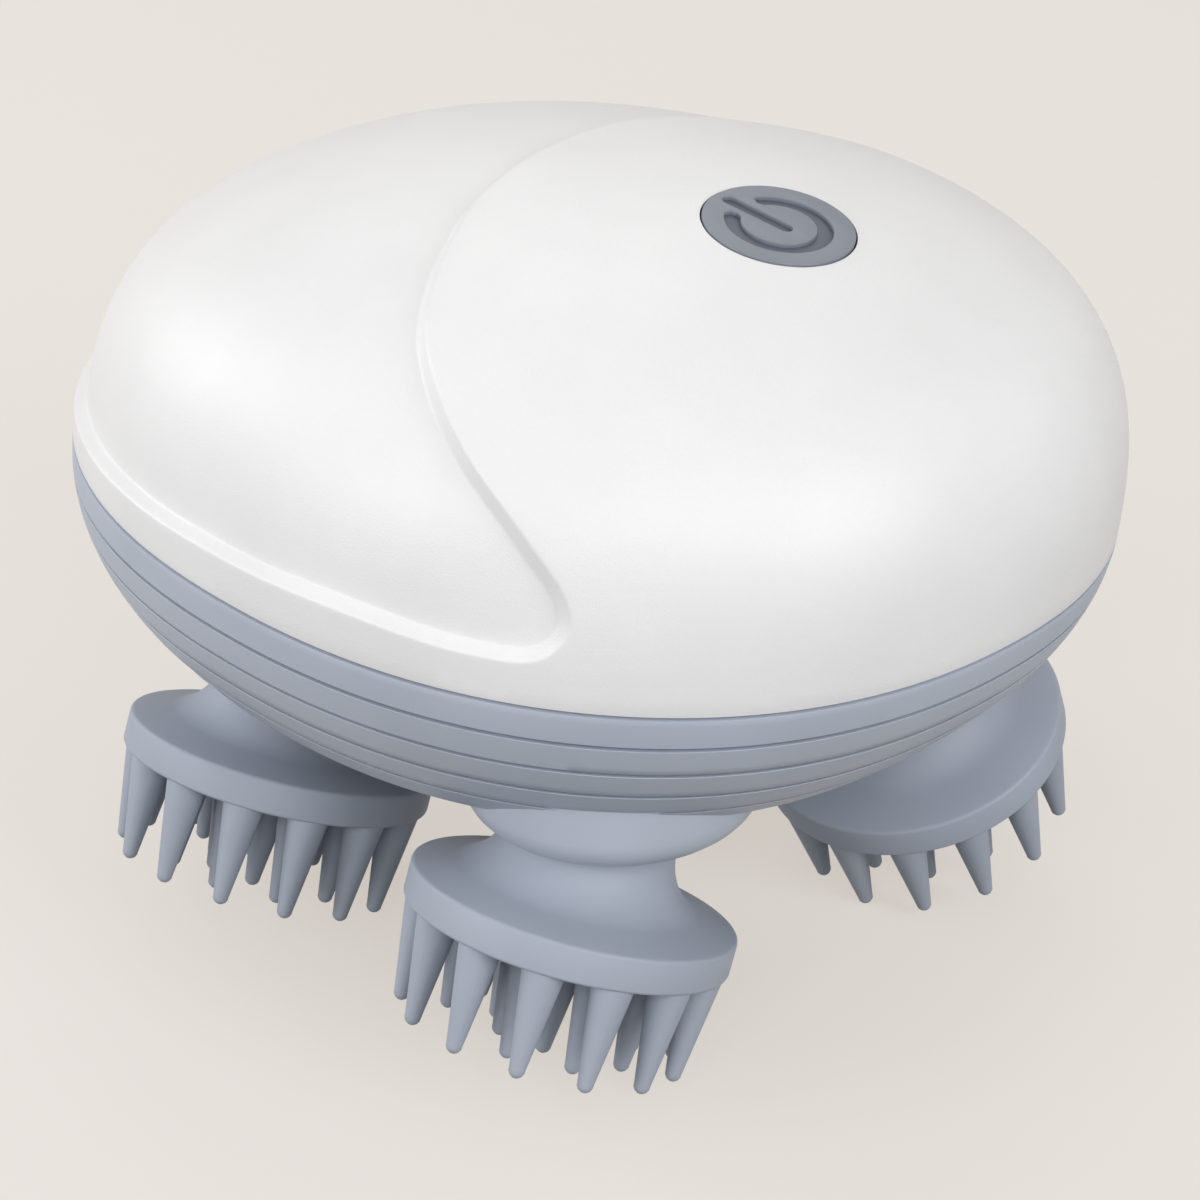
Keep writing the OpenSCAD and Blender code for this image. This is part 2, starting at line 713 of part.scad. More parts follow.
module shell_gasket() {
    color("dimgray")
        seam_band(rebate_inset + 0.1, rebate_inset + 1, -rebate_depth, rebate_depth - tongue_depth);
}
module shell_screws() {
    color("silver") at_shell_screws() rotate([180, 0, 0])
        screw_down(-shell_head_seat, shell_screw_length, shell_screw_r, shell_head_r, 1.8);
}

// ---- Deck and bridge ----
module deck_plate(side) {
    translate([0, 0, deck_bottom]) linear_extrude(deck_thickness) scale_y(side) {
        translate([-deck_post_dx, -head_dy * 1.5]) square([2 * deck_post_dx, head_dy * 1.5 + deck_side_v]);
        for (dx = [-deck_post_dx, deck_post_dx]) translate([dx, 0]) circle(deck_ear_r);
        for (dx = [-cradle_leg_dx, cradle_leg_dx]) translate([cell_x - heads_x + dx, cradle_leg_v])
            circle(cradle_leg_r + 1.2);
    }
}
module scale_y(side) {
    if (side > 0) children();
    else mirror([0, 1, 0]) children();
}
module saddle_wall(x) {
    rise = saddle_half_y * tan(head_tilt);
    sink = 0.5;
    translate([x - saddle_thickness / 2, 0, 0]) rotate([90, 0, 90]) linear_extrude(saddle_thickness) polygon([
        [0, valley_z - sink], [saddle_half_y, valley_z - sink + rise], [saddle_half_y, worm_z],
        [-saddle_half_y, worm_z], [-saddle_half_y, valley_z - sink + rise]
    ]);
}
module gear_deck() {
    color("gainsboro") difference() {
        union() {
            for (side = [-1, 1]) intersection() {
                at_wheel(side) deck_plate(side);
                translate([-body_length, side > 0 ? 0 : -body_width, 0])
                    cube([body_span, body_width, body_length]);
            }
            for (x = saddle_xs) saddle_wall(x);
        }
        at_each_head() cyl(bush_r + fixed_gap, deck_bottom - 1, deck_top + 1);
        for (side = [-1, 1]) at_wheel(side) cyl(sleeve_r + 0.5, deck_bottom - 1, deck_top + 1);
        at_deck_posts() cyl(small_screw_r + 0.15, deck_bottom - 1, deck_top + 1);
        at_bridge_feet() cyl(small_screw_r + fixed_gap, deck_bottom - 1, deck_top + 1);
        at_shell_screws() cyl(shell_post_r + 0.5, 0, body_length);
        along_x(motor_front_x - 1)
            linear_extrude(motor_length + motor_cap_length + 2) motor_section(saddle_gap);
        at_cradle_legs() {
            cyl(small_screw_r + 0.15, deck_bottom - 1, deck_top + 1);
            cyl(small_head_r + 0.2, deck_bottom - 1, cradle_screw_seat);
        }
    }
}
module deck_screws() {
    color("silver") at_deck_posts() small_screw(deck_top, deck_screw_length);
}
// One leg of the bridge, with a foot that lies out mm beside it
module bridge_leg(side, post, out) {
    foot_top = deck_top + foot_thickness;
    translate([post[0], side * post[1], 0]) {
        cyl(bridge_post_r, deck_top, axle_cap_bottom + 1.6);
        translate([out[0], side * out[1], 0]) cyl(foot_r, deck_top, foot_top);
        rotate(atan2(side * out[1], out[0])) translate([0, -bridge_post_r, deck_top])
            cube([norm(out), 2 * bridge_post_r, foot_thickness]);
    }
}
module motor_bridge() {
    color("gainsboro") difference() {
        union() {
            translate([bridge_x[0], -bridge_half_y, bridge_z])
                cube([bridge_x[1] - bridge_x[0], 2 * bridge_half_y, bridge_thickness]);
            for (x = saddle_xs)
                translate([x - saddle_thickness / 2, -bridge_pad_width / 2, worm_z + motor_flat / 2])
                cube([saddle_thickness, bridge_pad_width, bridge_z - worm_z - motor_flat / 2 + 1]);
            translate([shaft_bearing_x, -4, worm_z - 3.5])
                cube([shaft_bearing_length, 8, bridge_z - worm_z + 4.5]);
            for (side = [-1, 1]) at_wheel(side) {
                cyl(axle_boss_r, axle_cap_bottom, axle_top + 1);
                for (k = [0:1]) bridge_leg(side, bridge_posts[k], bridge_feet[k] - bridge_posts[k]);
            }
        }
        along_x(shaft_bearing_x - 1) cylinder(h = shaft_bearing_length + 2, r = motor_shaft_r + run_gap);
        for (side = [-1, 1]) at_wheel(side) cyl(axle_r + fixed_gap, axle_cap_bottom - 1, axle_top + 0.05);
        at_bridge_feet() cyl(small_screw_r + 0.15, deck_top - 1, deck_top + foot_thickness + 1);
    }
}
module bridge_screws() {
    color("silver") at_bridge_feet() small_screw(deck_top + foot_thickness, bridge_screw_length);
}

// ---- Motor, worm and wheels ----
module motor_can() {
    color("darkgray") difference() {
        union() {
            along_x(motor_front_x) linear_extrude(motor_length) motor_section(0);
            along_x(motor_front_x - motor_nose[1]) cylinder(h = motor_nose[1] + 0.1, r = motor_nose[0]);
        }
        along_x(motor_front_x - 2) cylinder(h = motor_length + 3, r = motor_shaft_r + run_gap);
    }
}
module motor_end_cap() {
    color("ivory") difference() {
        union() {
            along_x(motor_back_x) linear_extrude(motor_cap_length) intersection() {
                circle(motor_r - 0.6);
                square([2 * motor_r, motor_flat - 1.2], center = true);
            }
            for (s = [-1, 1])
                translate([motor_back_x + motor_cap_length - eps, s * motor_lug_y - 1, worm_z - 0.3])
                cube([1.6, 2, 0.6]);
        }
        along_x(motor_back_x - 1) cylinder(h = motor_cap_length, r = motor_shaft_r + run_gap);
    }
}
module motor_shaft() {
    color("silver") along_x(shaft_end_x) cylinder(h = motor_back_x + 0.8 - shaft_end_x, r = motor_shaft_r);
}
worm_core_r = worm_pitch_r - worm_dedendum;
worm_tip_r = worm_pitch_r + worm_addendum;
worm_extra_gap = 0.05;
thread_steps = 24;
thread_margin = 1.1;
// A groove of the worm meets the tooth of the back wheel that points at the worm
worm_zero_x = heads_x + worm_lead / 2 - worm_lead * head_tilt / 360;
thread_start = (heads_x - worm_length / 2 + thread_margin - worm_zero_x) * 360 / worm_lead;
thread_turns = (worm_length - 2 * thread_margin) / worm_lead;
function thread_half(r) =
    worm_lead / 4 - flank_gap / 2 - worm_extra_gap - (r - worm_pitch_r) * tan(pressure_angle);
function thread_ring(a) = let (x = worm_zero_x + worm_lead * a / 360, root = worm_core_r - 0.3)
    [for (q = [[-1, root], [1, root], [1, worm_tip_r], [-1, worm_tip_r]])
        [x + q[0] * thread_half(q[1]), q[1] * cos(a), q[1] * sin(a)]];
module worm() {
    count = ceil(thread_turns * thread_steps);
    rings = [for (i = [0:count]) thread_ring(thread_start + 360 * thread_turns * i / count)];
    color("goldenrod") difference() {
        union() {
            along_x(heads_x - worm_length / 2) cylinder(h = worm_length, r = worm_core_r);
            translate([0, 0, worm_z]) skin(rings);
        }
        along_x(heads_x - worm_length) cylinder(h = 2 * worm_length, r = motor_shaft_r + 0.02);
    }
}
wheel_twist = worm_lead / (2 * PI * worm_pitch_r) * wheel_width / wheel_pitch_r * 180 / PI;
function wheel_phase(side) = side > 0 ? 0 : -360 / wheel_teeth * (0.5 - head_tilt / 180);
module worm_wheel(side) {
    color("whitesmoke") at_wheel(side) difference() {
        union() {
            translate([0, 0, pinion_bottom]) linear_extrude(pinion_top - pinion_bottom)
                polygon(gear_points(pinion_teeth, gear_module, 1.2 * gear_module, flank_gap / 2));
            cyl(sleeve_r, pinion_top - 0.1, wheel_bottom + 0.1);
            translate([0, 0, wheel_bottom]) rotate(wheel_phase(side) - wheel_twist / 2)
                linear_extrude(wheel_width, twist = -wheel_twist, slices = 3)
                polygon(gear_points(wheel_teeth, worm_addendum, worm_dedendum, flank_gap / 2));
        }
        cyl(axle_r + run_gap, pinion_bottom - 1, wheel_top + 1);
    }
}
module wheel_axles() {
    color("silver") for (side = [-1, 1]) at_wheel(side) cyl(axle_r, axle_bottom + 0.05, axle_top);
}

// ---- Heads ----
core_r = 7;
core_flange_r = 14.5;
core_flange_bottom = band_bottom + 1.3;
core_flange_top = core_flange_bottom + 2;
hex_r = 3.6;
hex_gap = 0.06;
hex_top = -3;
hex_bottom = -13.8;
flat_cut = 0.6;
// The flare leaves the neck along an ellipse and ends in a shallow cone down to the disc's edge
flare_top = 8 - disc_drop;
flare_reach = 6;
flare_drop = 7;
flare_turn = 75;
lip_round = 0.4;
module head_profile() {
    polygon(concat(
        [[0, neck_top], [neck_r - 0.6, neck_top], [neck_r, neck_top - 0.6]],
        [for (t = [0:15:flare_turn]) [neck_r + flare_reach * (1 - cos(t)), flare_top - flare_drop * sin(t)]],
        [[disc_r, -disc_drop]],
        [for (t = [0:30:90]) [disc_r - lip_round * (1 - cos(t)), band_bottom + lip_round * (1 - sin(t))]],
        [[0, band_bottom]]
    ));
}
module pin_at(r, a) {
    tip_z = tip_plane + pin_tip_r;
    root_z = band_bottom + 0.5;
    translate([r * cos(a), r * sin(a), 0]) {
        translate([0, 0, tip_z]) cylinder(h = root_z - tip_z, r1 = pin_tip_r, r2 = pin_root_r, $fn = 24);
        translate([0, 0, tip_z]) sphere(pin_tip_r, $fn = 24);
    }
}
module core_body(gap) {
    cyl(core_r + gap, core_flange_bottom, neck_top + gap);
    cyl(core_flange_r + gap, core_flange_bottom - gap, core_flange_top + gap);
}
module massage_head(h) {
    color("lightslategray") at_head(h) difference() {
        union() {
            rotate_extrude() head_profile();
            for (k = pin_rings, i = [0:k[0] - 1]) pin_at(k[1], h[2] * (k[2] + 360 * i / k[0]));
        }
        core_body(fixed_gap);
        cyl(core_r + fixed_gap, core_flange_top, neck_top + 1);
    }
}
module hex_bar(gap, bottom, top) {
    translate([0, 0, bottom]) linear_extrude(top - bottom) circle(hex_r + gap, $fn = 6);
}
module head_core(h) {
    color("gray") at_head(h) difference() {
        core_body(0);
        hex_bar(hex_gap, hex_bottom - 0.1, neck_top + 1);
    }
}
module d_bar(gap, bottom, top) {
    difference() {
        cyl(shaft_r + gap, bottom, top);
        translate([shaft_r + gap - flat_cut, -shaft_r - 1, bottom - 1])
            cube([2, 2 * shaft_r + 2, top - bottom + 2]);
    }
}
module head_shaft(h) {
    color("silver") at_head(h) difference() {
        union() {
            hex_bar(0, hex_bottom, hex_top);
            cyl(shaft_r, hex_top, gear_bottom);
            d_bar(0, gear_bottom, shaft_top);
        }
        ring(shaft_r + 1, shaft_r - 0.6, clip_bottom - 0.05, clip_bottom + clip_thickness + 0.05);
    }
}
module head_gear(h) {
    web_depth = 0.8;
    web_outer_r = gear_module * head_teeth / 2 - 3;
    web_inner_r = shaft_r + 3.5;
    color("whitesmoke") at_head(h) difference() {
        translate([0, 0, gear_bottom]) rotate(180 / head_teeth) linear_extrude(gear_width)
            polygon(gear_points(head_teeth, head_gear_addendum, head_gear_dedendum, flank_gap / 2));
        d_bar(fixed_gap, gear_bottom - 1, gear_top + 1);
        for (z = [gear_bottom - 1, gear_top - web_depth])
            ring(web_outer_r, web_inner_r, z, z + 1 + web_depth);
    }
}
module shaft_clip(h) {
    color("silver") at_head(h) difference() {
        ring(5, shaft_r - 0.55, clip_bottom, clip_bottom + clip_thickness);
        translate([0, -1.6, clip_bottom - 1]) cube([6, 3.2, clip_thickness + 2]);
    }
}
module head_seals() {
    color("black") at_each_head()
        ring(seal_r - fixed_gap, shaft_r + run_gap, recess_top + 0.05, seal_top - 0.05);
}
module lower_bushes() {
    color("peru") at_each_head() difference() {
        union() {
            cyl(bush_r, seal_top, lower_boss_top + 0.1);
            cyl(bush_flange_r, lower_boss_top, lower_boss_top + bush_flange);
        }
        cyl(shaft_r + run_gap, seal_top - 1, lower_boss_top + bush_flange + 1);
    }
}
module upper_bushes() {
    color("peru") at_each_head() difference() {
        union() {
            cyl(bush_r, deck_bottom - 0.3, deck_top + 0.1);
            cyl(bush_flange_r, deck_top, deck_top + upper_flange);
        }
        cyl(shaft_r + run_gap, deck_bottom - 1, deck_top + upper_flange + 1);
    }
}

// ---- Battery ----
module along_y(length) {
    translate([cell_x, length / 2, cell_z]) rotate([90, 0, 0]) children();
}
module battery_cell() {
    color("royalblue") {
        along_y(cell_length) cylinder(h = cell_length - 0.8, r = cell_r);
        along_y(cell_length) translate([0, 0, cell_length - 0.9]) cylinder(h = 0.9, r = cell_terminal_r);
    }
}
module battery_cradle() {
    color("gainsboro") difference() {
        union() {
            difference() {
                along_y(cradle_length)
                    cylinder(h = cradle_length, r = cell_r + cradle_gap + cradle_thickness);
                translate([cell_x - 2 * cell_r, -cradle_length, cell_z])
                    cube([4 * cell_r, 2 * cradle_length, 2 * cell_r]);
            }
            at_cradle_legs() cyl(cradle_leg_r, deck_top, cradle_leg_top);
        }
        along_y(cell_length + 0.6) cylinder(h = cell_length + 0.6, r = cell_r + cradle_gap);
        at_cradle_legs()
            cyl(small_screw_r + fixed_gap, deck_top - 1, cradle_screw_seat + cradle_screw_length + 0.3);
    }
}
module cradle_screws() {
    color("silver") at_cradle_legs() rotate([180, 0, 0]) small_screw(-cradle_screw_seat, cradle_screw_length);
}

// ---- Button, board and switch ----
module button_cap() {
    color("slategray") at_button() difference() {
        union() {
            cyl(button_r, flange_top - 0.1, cap_top);
            cyl(cap_flange_r, flange_bottom, flange_top);
            cyl(stem_r, stem_bottom, flange_bottom + 0.1);
        }
        translate([0, 0, cap_top - symbol_depth]) linear_extrude(2) symbol_shape();
    }
}
module button_gasket() {
    color("dimgray") at_button()
        ring(collar_r - 0.2, stem_r + 0.3, collar_bottom - gasket_thickness, collar_bottom);
}
module circuit_board() {
    color("darkgreen") difference() {
        at_button() translate([-board_size[0] / 2, -board_size[1] / 2, board_top - board_thickness])
            cube([board_size[0], board_size[1], board_thickness]);
        at_board_posts() cyl(small_screw_r + 0.15, board_top - board_thickness - 1, board_top + 1);
    }
}
module board_screws() {
    color("silver") at_board_posts() rotate([180, 0, 0])
        small_screw(board_thickness - board_top, board_screw_length);
}
module tact_switch() {
    color("dimgray") at_button() difference() {
        translate([-switch_side / 2, -switch_side / 2, board_top])
            cube([switch_side, switch_side, switch_height]);
        cyl(plunger_r + run_gap, board_top + 0.8, switch_top + 1);
    }
}
module switch_plunger() {
    color("black") at_button() cyl(plunger_r, switch_top - 1.3, stem_bottom);
}

// ---- Charging port ----
module charge_socket() {
    inner = [socket_size[0] - 2 * socket_wall, socket_size[1] - 2 * socket_wall];
    color("silver") difference() {
        oval_x(socket_front_x, socket_size, socket_length);
        oval_x(socket_front_x - 1, inner, socket_depth + 1);
    }
}
module charge_board() {
    color("darkgreen") difference() {
        translate([charge_board_x[0], -charge_board_half_y, charge_board_top - charge_board_thickness])
            cube([charge_board_x[1] - charge_board_x[0], 2 * charge_board_half_y, charge_board_thickness]);
        at_charge_posts() cyl(small_screw_r + 0.15, charge_board_top - 4, charge_board_top + 1);
    }
}
module charge_board_screws() {
    color("silver") at_charge_posts() small_screw(charge_board_top, charge_screw_length);
}
module port_plug() {
    slack = 2 * (socket_wall + port_gap);
    tongue = [socket_size[0] - slack, socket_size[1] - slack];
    color("lightslategray") {
        oval_x(port_face_x - flange_thickness, flange_size, flange_thickness);
        oval_x(port_face_x - 0.1, tongue, 0.1 + socket_front_x - port_face_x + tongue_reach);
    }
}

top_shell();
base_shell();
shell_gasket();
shell_screws();
gear_deck();
deck_screws();
motor_bridge();
bridge_screws();
motor_can();
motor_end_cap();
motor_shaft();
worm();
worm_wheel(-1);  // front_worm_wheel
worm_wheel(1);  // back_worm_wheel
wheel_axles();
for (h = HEADS) {
    massage_head(h);
    head_core(h);
    head_shaft(h);
    head_gear(h);
    shaft_clip(h);
}
head_seals();
lower_bushes();
upper_bushes();
battery_cell();
battery_cradle();
cradle_screws();
circuit_board();
board_screws();
tact_switch();
switch_plunger();
button_cap();
button_gasket();
charge_socket();
charge_board();
charge_board_screws();
port_plug();
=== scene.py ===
"""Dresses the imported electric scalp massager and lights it.

Its white dome with the sunk wrap panel, its grooved base, its button, its port plug and its four silicone
heads are modelled here. Every other piece is the frame's own solid with a finish from here.
"""

import json
import math

import bmesh
import bpy
import numpy as np
from mathutils import Matrix, Vector, kdtree


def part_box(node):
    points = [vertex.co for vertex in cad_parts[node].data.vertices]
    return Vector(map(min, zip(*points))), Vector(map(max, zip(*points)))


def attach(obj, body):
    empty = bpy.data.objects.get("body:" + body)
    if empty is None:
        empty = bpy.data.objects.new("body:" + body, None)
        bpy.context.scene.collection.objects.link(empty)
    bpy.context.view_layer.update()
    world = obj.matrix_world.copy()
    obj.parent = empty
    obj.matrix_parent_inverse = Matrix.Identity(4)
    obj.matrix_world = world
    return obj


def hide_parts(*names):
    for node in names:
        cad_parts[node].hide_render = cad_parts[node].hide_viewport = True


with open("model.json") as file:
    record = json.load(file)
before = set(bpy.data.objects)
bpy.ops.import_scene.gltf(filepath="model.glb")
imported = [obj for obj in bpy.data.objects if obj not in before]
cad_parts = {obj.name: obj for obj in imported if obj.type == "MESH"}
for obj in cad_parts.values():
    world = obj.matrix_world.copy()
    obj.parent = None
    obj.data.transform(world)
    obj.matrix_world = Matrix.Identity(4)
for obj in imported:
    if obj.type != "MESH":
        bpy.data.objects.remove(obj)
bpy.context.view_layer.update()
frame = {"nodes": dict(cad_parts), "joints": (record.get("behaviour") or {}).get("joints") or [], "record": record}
MM = 0.001

# ---- Sizes in millimetres, the same as the frame's ----
# Body: a dome above the girth and a bowl below it, over one egg-shaped plan
HALF_LENGTH = 62.0
HALF_WIDTH = 51.9
GIRTH_Z = 54.0
DOME_RISE = 37.0
DOME_POWER = 2.75
BOWL_DEPTH = 35.1
BOWL_POWER = 1.91
PLAN_POWER = 2.18
EGG = 0.04
# How far the top leans towards +X and the bottom towards -X, and the shift of the whole
LEAN = 4.6
SHIFT = -0.275
# Extra rise in the middle of the dome, and the share of the dome's reach where it ends
CROWN_RISE = 2.0
CROWN_REACH = 0.65
SEAM_Z = 55.2
SEAM_SLOPE = -math.tan(math.radians(1.6))
UNDERSIDE_Z = 34.5
WALL = 2.2

# Wrap panel: the dome is thicker, so that a wall stays behind the panel
PANEL_DEPTH = 1.4
DOME_WALL = WALL + 0.6 * PANEL_DEPTH
RAMP_WIDTH = 1.4
# Share of the ramp's width over which its ends are rounded
RAMP_ROUND = 0.14
# The ramp narrows towards the ledge, from this height down, over this span
LEDGE_RAMP = 1.0
LEDGE_RAMP_Z = 64
LEDGE_RAMP_SPAN = 5

# Rim of the dome as (height above the seam, depth from the skin), over the tongue to the inner wall
DOME_LIFT = 0.3
DOME_RIM = [
    (0.23, 0.02), (0.2, 0.08), (0.2, 0.9), (0.0, 1.25), (-1.3, 1.25), (-1.3, 2.05), (0.0, 2.05),
    (0.0, DOME_WALL),
]  # fmt: skip

# Base: its rim in the same form, then its grooves and its lower edge as (height above the floor, depth)
BASE_RIM = [(-0.2, 0.9), (-0.2, 0.08), (-0.23, 0.02), (-0.28, 0)]
BAND_HEIGHT = 4.0
GROOVE_COUNT = 4
GROOVE_WIDTH = 0.6
GROOVE_DEPTH = 1.0
# Section of a groove as shares of its width and its depth
GROOVE_SECTION = [
    (-0.5, 0), (-0.42, 0.06), (-0.38, 0.3), (-0.34, 1), (0.34, 1), (0.38, 0.3), (0.42, 0.06), (0.5, 0),
]  # fmt: skip
# Heights on a band, as shares of it, that carry its curve
BAND_STOPS = (0.25, 0.7)
FLOOR_EDGE = [(0.4, 0), (0.12, 0.08), (0.02, 0.25), (0, 0.45)]
HOLLOW_HEIGHTS = (UNDERSIDE_Z + WALL, 41, 46, 51, 54, 57, 66)
# The step in the base's rim that takes the dome's tongue
REBATE_DEPTH = 1.1
REBATE_HEIGHTS = (-2.0, -1.0, 1.0)

# Hubs under the base, and the sockets in them, which are measured from each head's pivot.
# A solid that only cuts runs past the surface that it cuts.
HUB_R = 16.2
HUB_ROUND = 4.0
HUB_UNDERSIDE = 30.1
HUB_TOP = 43.5
NECK_R = 9.2
NECK_SOCKET_R = NECK_R + 1
NECK_SOCKET_BOTTOM = -30
NECK_SOCKET_TOP = 0.2
SEAL_POCKET_R = 6
SEAL_POCKET_TOP = 1.2
BUSH_BORE_R = 4.53
BUSH_BORE_TOP = 9
HUB_BOSS_R = NECK_R + 3
HUB_BOSS_BOTTOM = -9
HUB_BOSS_TOP = 2.8
BUSH_BOSS_R = 6.6
BUSH_BOSS_TOP = 7.6

# Shell screws, each in a well of the underside with a post round it
SCREWS_AT = [(48.2, 0), (-46.3, 0), (2.9, 38), (2.9, -38)]
SCREW_WELL_R = 2.75
SCREW_WELL_BOTTOM = 20
SCREW_WELL_TOP = 40.0
SCREW_BORE_R = 1.45
SCREW_BORE_BOTTOM = 38
SCREW_BORE_TOP = 60
SCREW_POST_R = 3.6
SCREW_POST_BOTTOM = 30
SCREW_POST_TOP = 51

# Heads, measured along each head's axis from its pivot
HEAD_TILT = 21.3
NECK_TOP = -1
NECK_BOTTOM = -4.5
# Soft upper edges of the neck and of the disc, as steps outwards and up from their corners
NECK_EDGE = [(-0.6, 0), (-0.15, -0.2), (0, -0.7)]
DISC_EDGE = [(-1.6, 0.44), (-0.45, 0.1), (-0.2, 0), (-0.06, -0.14), (0, -0.35)]
FLARE_TOP = -7.6
FLARE_REACH = 6.0
FLARE_DROP = 7.0
DISC_R = 18.1
BAND_TOP = -15.6
BAND_BOTTOM = -19.5
LIP_ROUND = 0.4
PIN_ROOT_R = 2.4
PIN_TIP_R = 0.9
PIN_ROOT_SUNK = 0.4
# Each ring of pins: its count, its radius and its turn in degrees
PIN_RINGS = [(13, 15.4, 0), (9, 10.4, -14), (6, 5.3, 42)]

# Button: a face with the symbol cut through it, on a darker body with a collar
BUTTON_X = 29.2
BUTTON_Z = 90.6
BUTTON_R = 8.05
BUTTON_GAP = 0.2
BUTTON_WELL_BOTTOM = -14
BUTTON_WELL_TOP = 4
FACE_THICKNESS = 0.55
FACE_EDGE = 0.12
FACE_SUNK = 0.1
SYMBOL_FLOOR = 0.6
FLOOR_CHAMFER = 0.02
COLLAR_R = 9.3
COLLAR_TOP = 3.2
COLLAR_BOTTOM = 4.2

# Power symbol: the ring's radii and the bar's ends are shares of the button's radius, angles are in degrees
RING_INNER = 0.5
RING_OUTER = 0.71
RING_START = 200
RING_SWEEP = 314.5
RING_CORNER = 0.45
BAR_FAR = -0.78
BAR_NEAR = 0.1
BAR_HALF_WIDTH = 0.8
SYMBOL_TURN = 8

# Charging port: width and height of its slots, and the flange's thickness
PORT_FLANGE = (13.6, 7.2, 0.8)
PORT_OPENING = (9.4, 3.7)
PORT_TONGUE = (8.2, 2.5)
PORT_GAP = 0.1
PORT_SEAT_REACH = 4
PORT_OPENING_DEPTH = 5
PLUG_EDGE = 0.2
PLUG_RIM = 1.3
PLUG_RING = 0.5
PLUG_RING_DEPTH = 0.42
PLUG_BACK_INSET = 0.3
PLUG_BACK_GAP = 0.04
TONGUE_ROOT = 0.6
PAD_THICKNESS = 0.7
PAD_SUNK = 0.06
NOSE_LENGTH = 0.3
NOSE_INSET = 0.25

# How finely the round forms are cut
DOME_CELLS = 64
DOME_LEVELS = 4
# Cells are halved within this distance of the panel's edge, and further off at the first levels
FINE_BAND = 0.6
FINE_SPREAD = 4.0
# Cells of the inner wall are halved beyond this share of the way to the rim
RIM_SHARE = 0.9
BODY_STEPS = 384
HOLLOW_STEPS = 192
ROUND_STEPS = 128
BOSS_STEPS = 96
SCREW_STEPS = 48
BORE_STEPS = 32
PIN_STEPS = 20

JOINTS = {joint["name"]: joint for joint in frame["joints"]}
# Each head's pivot in millimetres, and the side of the middle plane that it lies on
HEADS = {
    name: (Vector(JOINTS[name + "_spin"]["pos_m"]) / MM, side)
    for name, side in (("front_right", -1), ("front_left", -1), ("back_right", 1), ("back_left", 1))
}


# ---- Small helpers ----
def finished_object(name, verts, faces, material):
    """Object made from points in millimetres, with its place in its mesh and smooth shading."""
    mesh = bpy.data.meshes.new(name)
    mesh.from_pydata([tuple(float(c) * MM for c in v) for v in verts], [], [tuple(f) for f in faces])
    mesh.validate()
    piece = bpy.data.objects.new(name, mesh)
    bpy.context.scene.collection.objects.link(piece)
    mesh.materials.append(material)
    mesh.shade_smooth()
    return piece


def smooth_by_angle(piece, degrees):
    """Keeps edges sharper than the angle crisp and shades the rest smooth."""
    mesh = piece.data
    mesh.shade_smooth()
    mesh.set_sharp_from_angle(angle=math.radians(degrees))


def turned(profile, steps, place=None):
    """Solid of revolution about Z through a profile of (radius, height) with both ends on the axis."""
    verts, faces = [], []
    rows = []
    for radius, height in profile:
        if radius < 1e-6:
            rows.append([len(verts)])
            verts.append((0.0, 0.0, height))
        else:
            rows.append(list(range(len(verts), len(verts) + steps)))
            turns = [2 * math.pi * i / steps for i in range(steps)]
            verts += [(radius * math.cos(turn), radius * math.sin(turn), height) for turn in turns]
    for low, high in zip(rows, rows[1:]):
        for i in range(steps):
            j = (i + 1) % steps
            if len(low) == 1:
                faces.append((low[0], high[j], high[i]))
            elif len(high) == 1:
                faces.append((low[i], low[j], high[0]))
            else:
                faces.append((low[i], low[j], high[j], high[i]))
    if place is not None:
        verts = [tuple(place @ Vector(v)) for v in verts]
    return verts, faces


def rod(radius, low, high):
    """Profile of a plain round rod about Z."""
    return [(0, low), (radius, low), (radius, high), (0, high)]


def skin(rings):
    """Closed solid through rings of as many points each, from the lowest up."""
    steps = len(rings[0])
    verts = [tuple(p) for ring in rings for p in ring]
    faces = [list(range(steps))[::-1], list(range(len(verts) - steps, len(verts)))]
    for r in range(len(rings) - 1):
        for i in range(steps):
            j = (i + 1) % steps
            faces.append((r * steps + i, r * steps + j, (r + 1) * steps + j, (r + 1) * steps + i))
    return verts, faces


def outward(piece):
    """Welds the doubles of a closed mesh and points its faces outwards."""
    work = bmesh.new()
    work.from_mesh(piece.data)
    bmesh.ops.remove_doubles(work, verts=work.verts, dist=1e-7)
    bmesh.ops.recalc_face_normals(work, faces=work.faces)
    work.to_mesh(piece.data)
    work.free()


def carve(piece, solid, operation):
    """Joins a solid to the piece or cuts it away."""
    tool = finished_object("carving_tool", *solid, piece.data.materials[0])
    outward(tool)
    cut_with(piece, tool, operation)


def cut_with(piece, tool, operation):
    """Joins the tool to the piece or cuts it away, leaves a plain mesh and removes the tool."""
    change = piece.modifiers.new("carve", "BOOLEAN")
    change.operation = operation
    change.solver = "MANIFOLD"
    change.object = tool
    evaluated = piece.evaluated_get(bpy.context.evaluated_depsgraph_get())
    mesh = bpy.data.meshes.new_from_object(evaluated)
    piece.modifiers.clear()
    old = piece.data
    piece.data = mesh
    bpy.data.meshes.remove(old)
    bpy.data.objects.remove(tool)


def smoothstep(v):
    """Smooth ramp from 0 to 1 that starts and ends level."""
    v = np.clip(v, 0, 1)
    return v * v * (3 - 2 * v)


def soft_ramp(v):
    """Straight ramp from 0 to 1 with slightly rounded ends."""
    return 0.5 * (1 + np.sqrt(v**2 + RAMP_ROUND**2) - np.sqrt((v - 1) ** 2 + RAMP_ROUND**2))


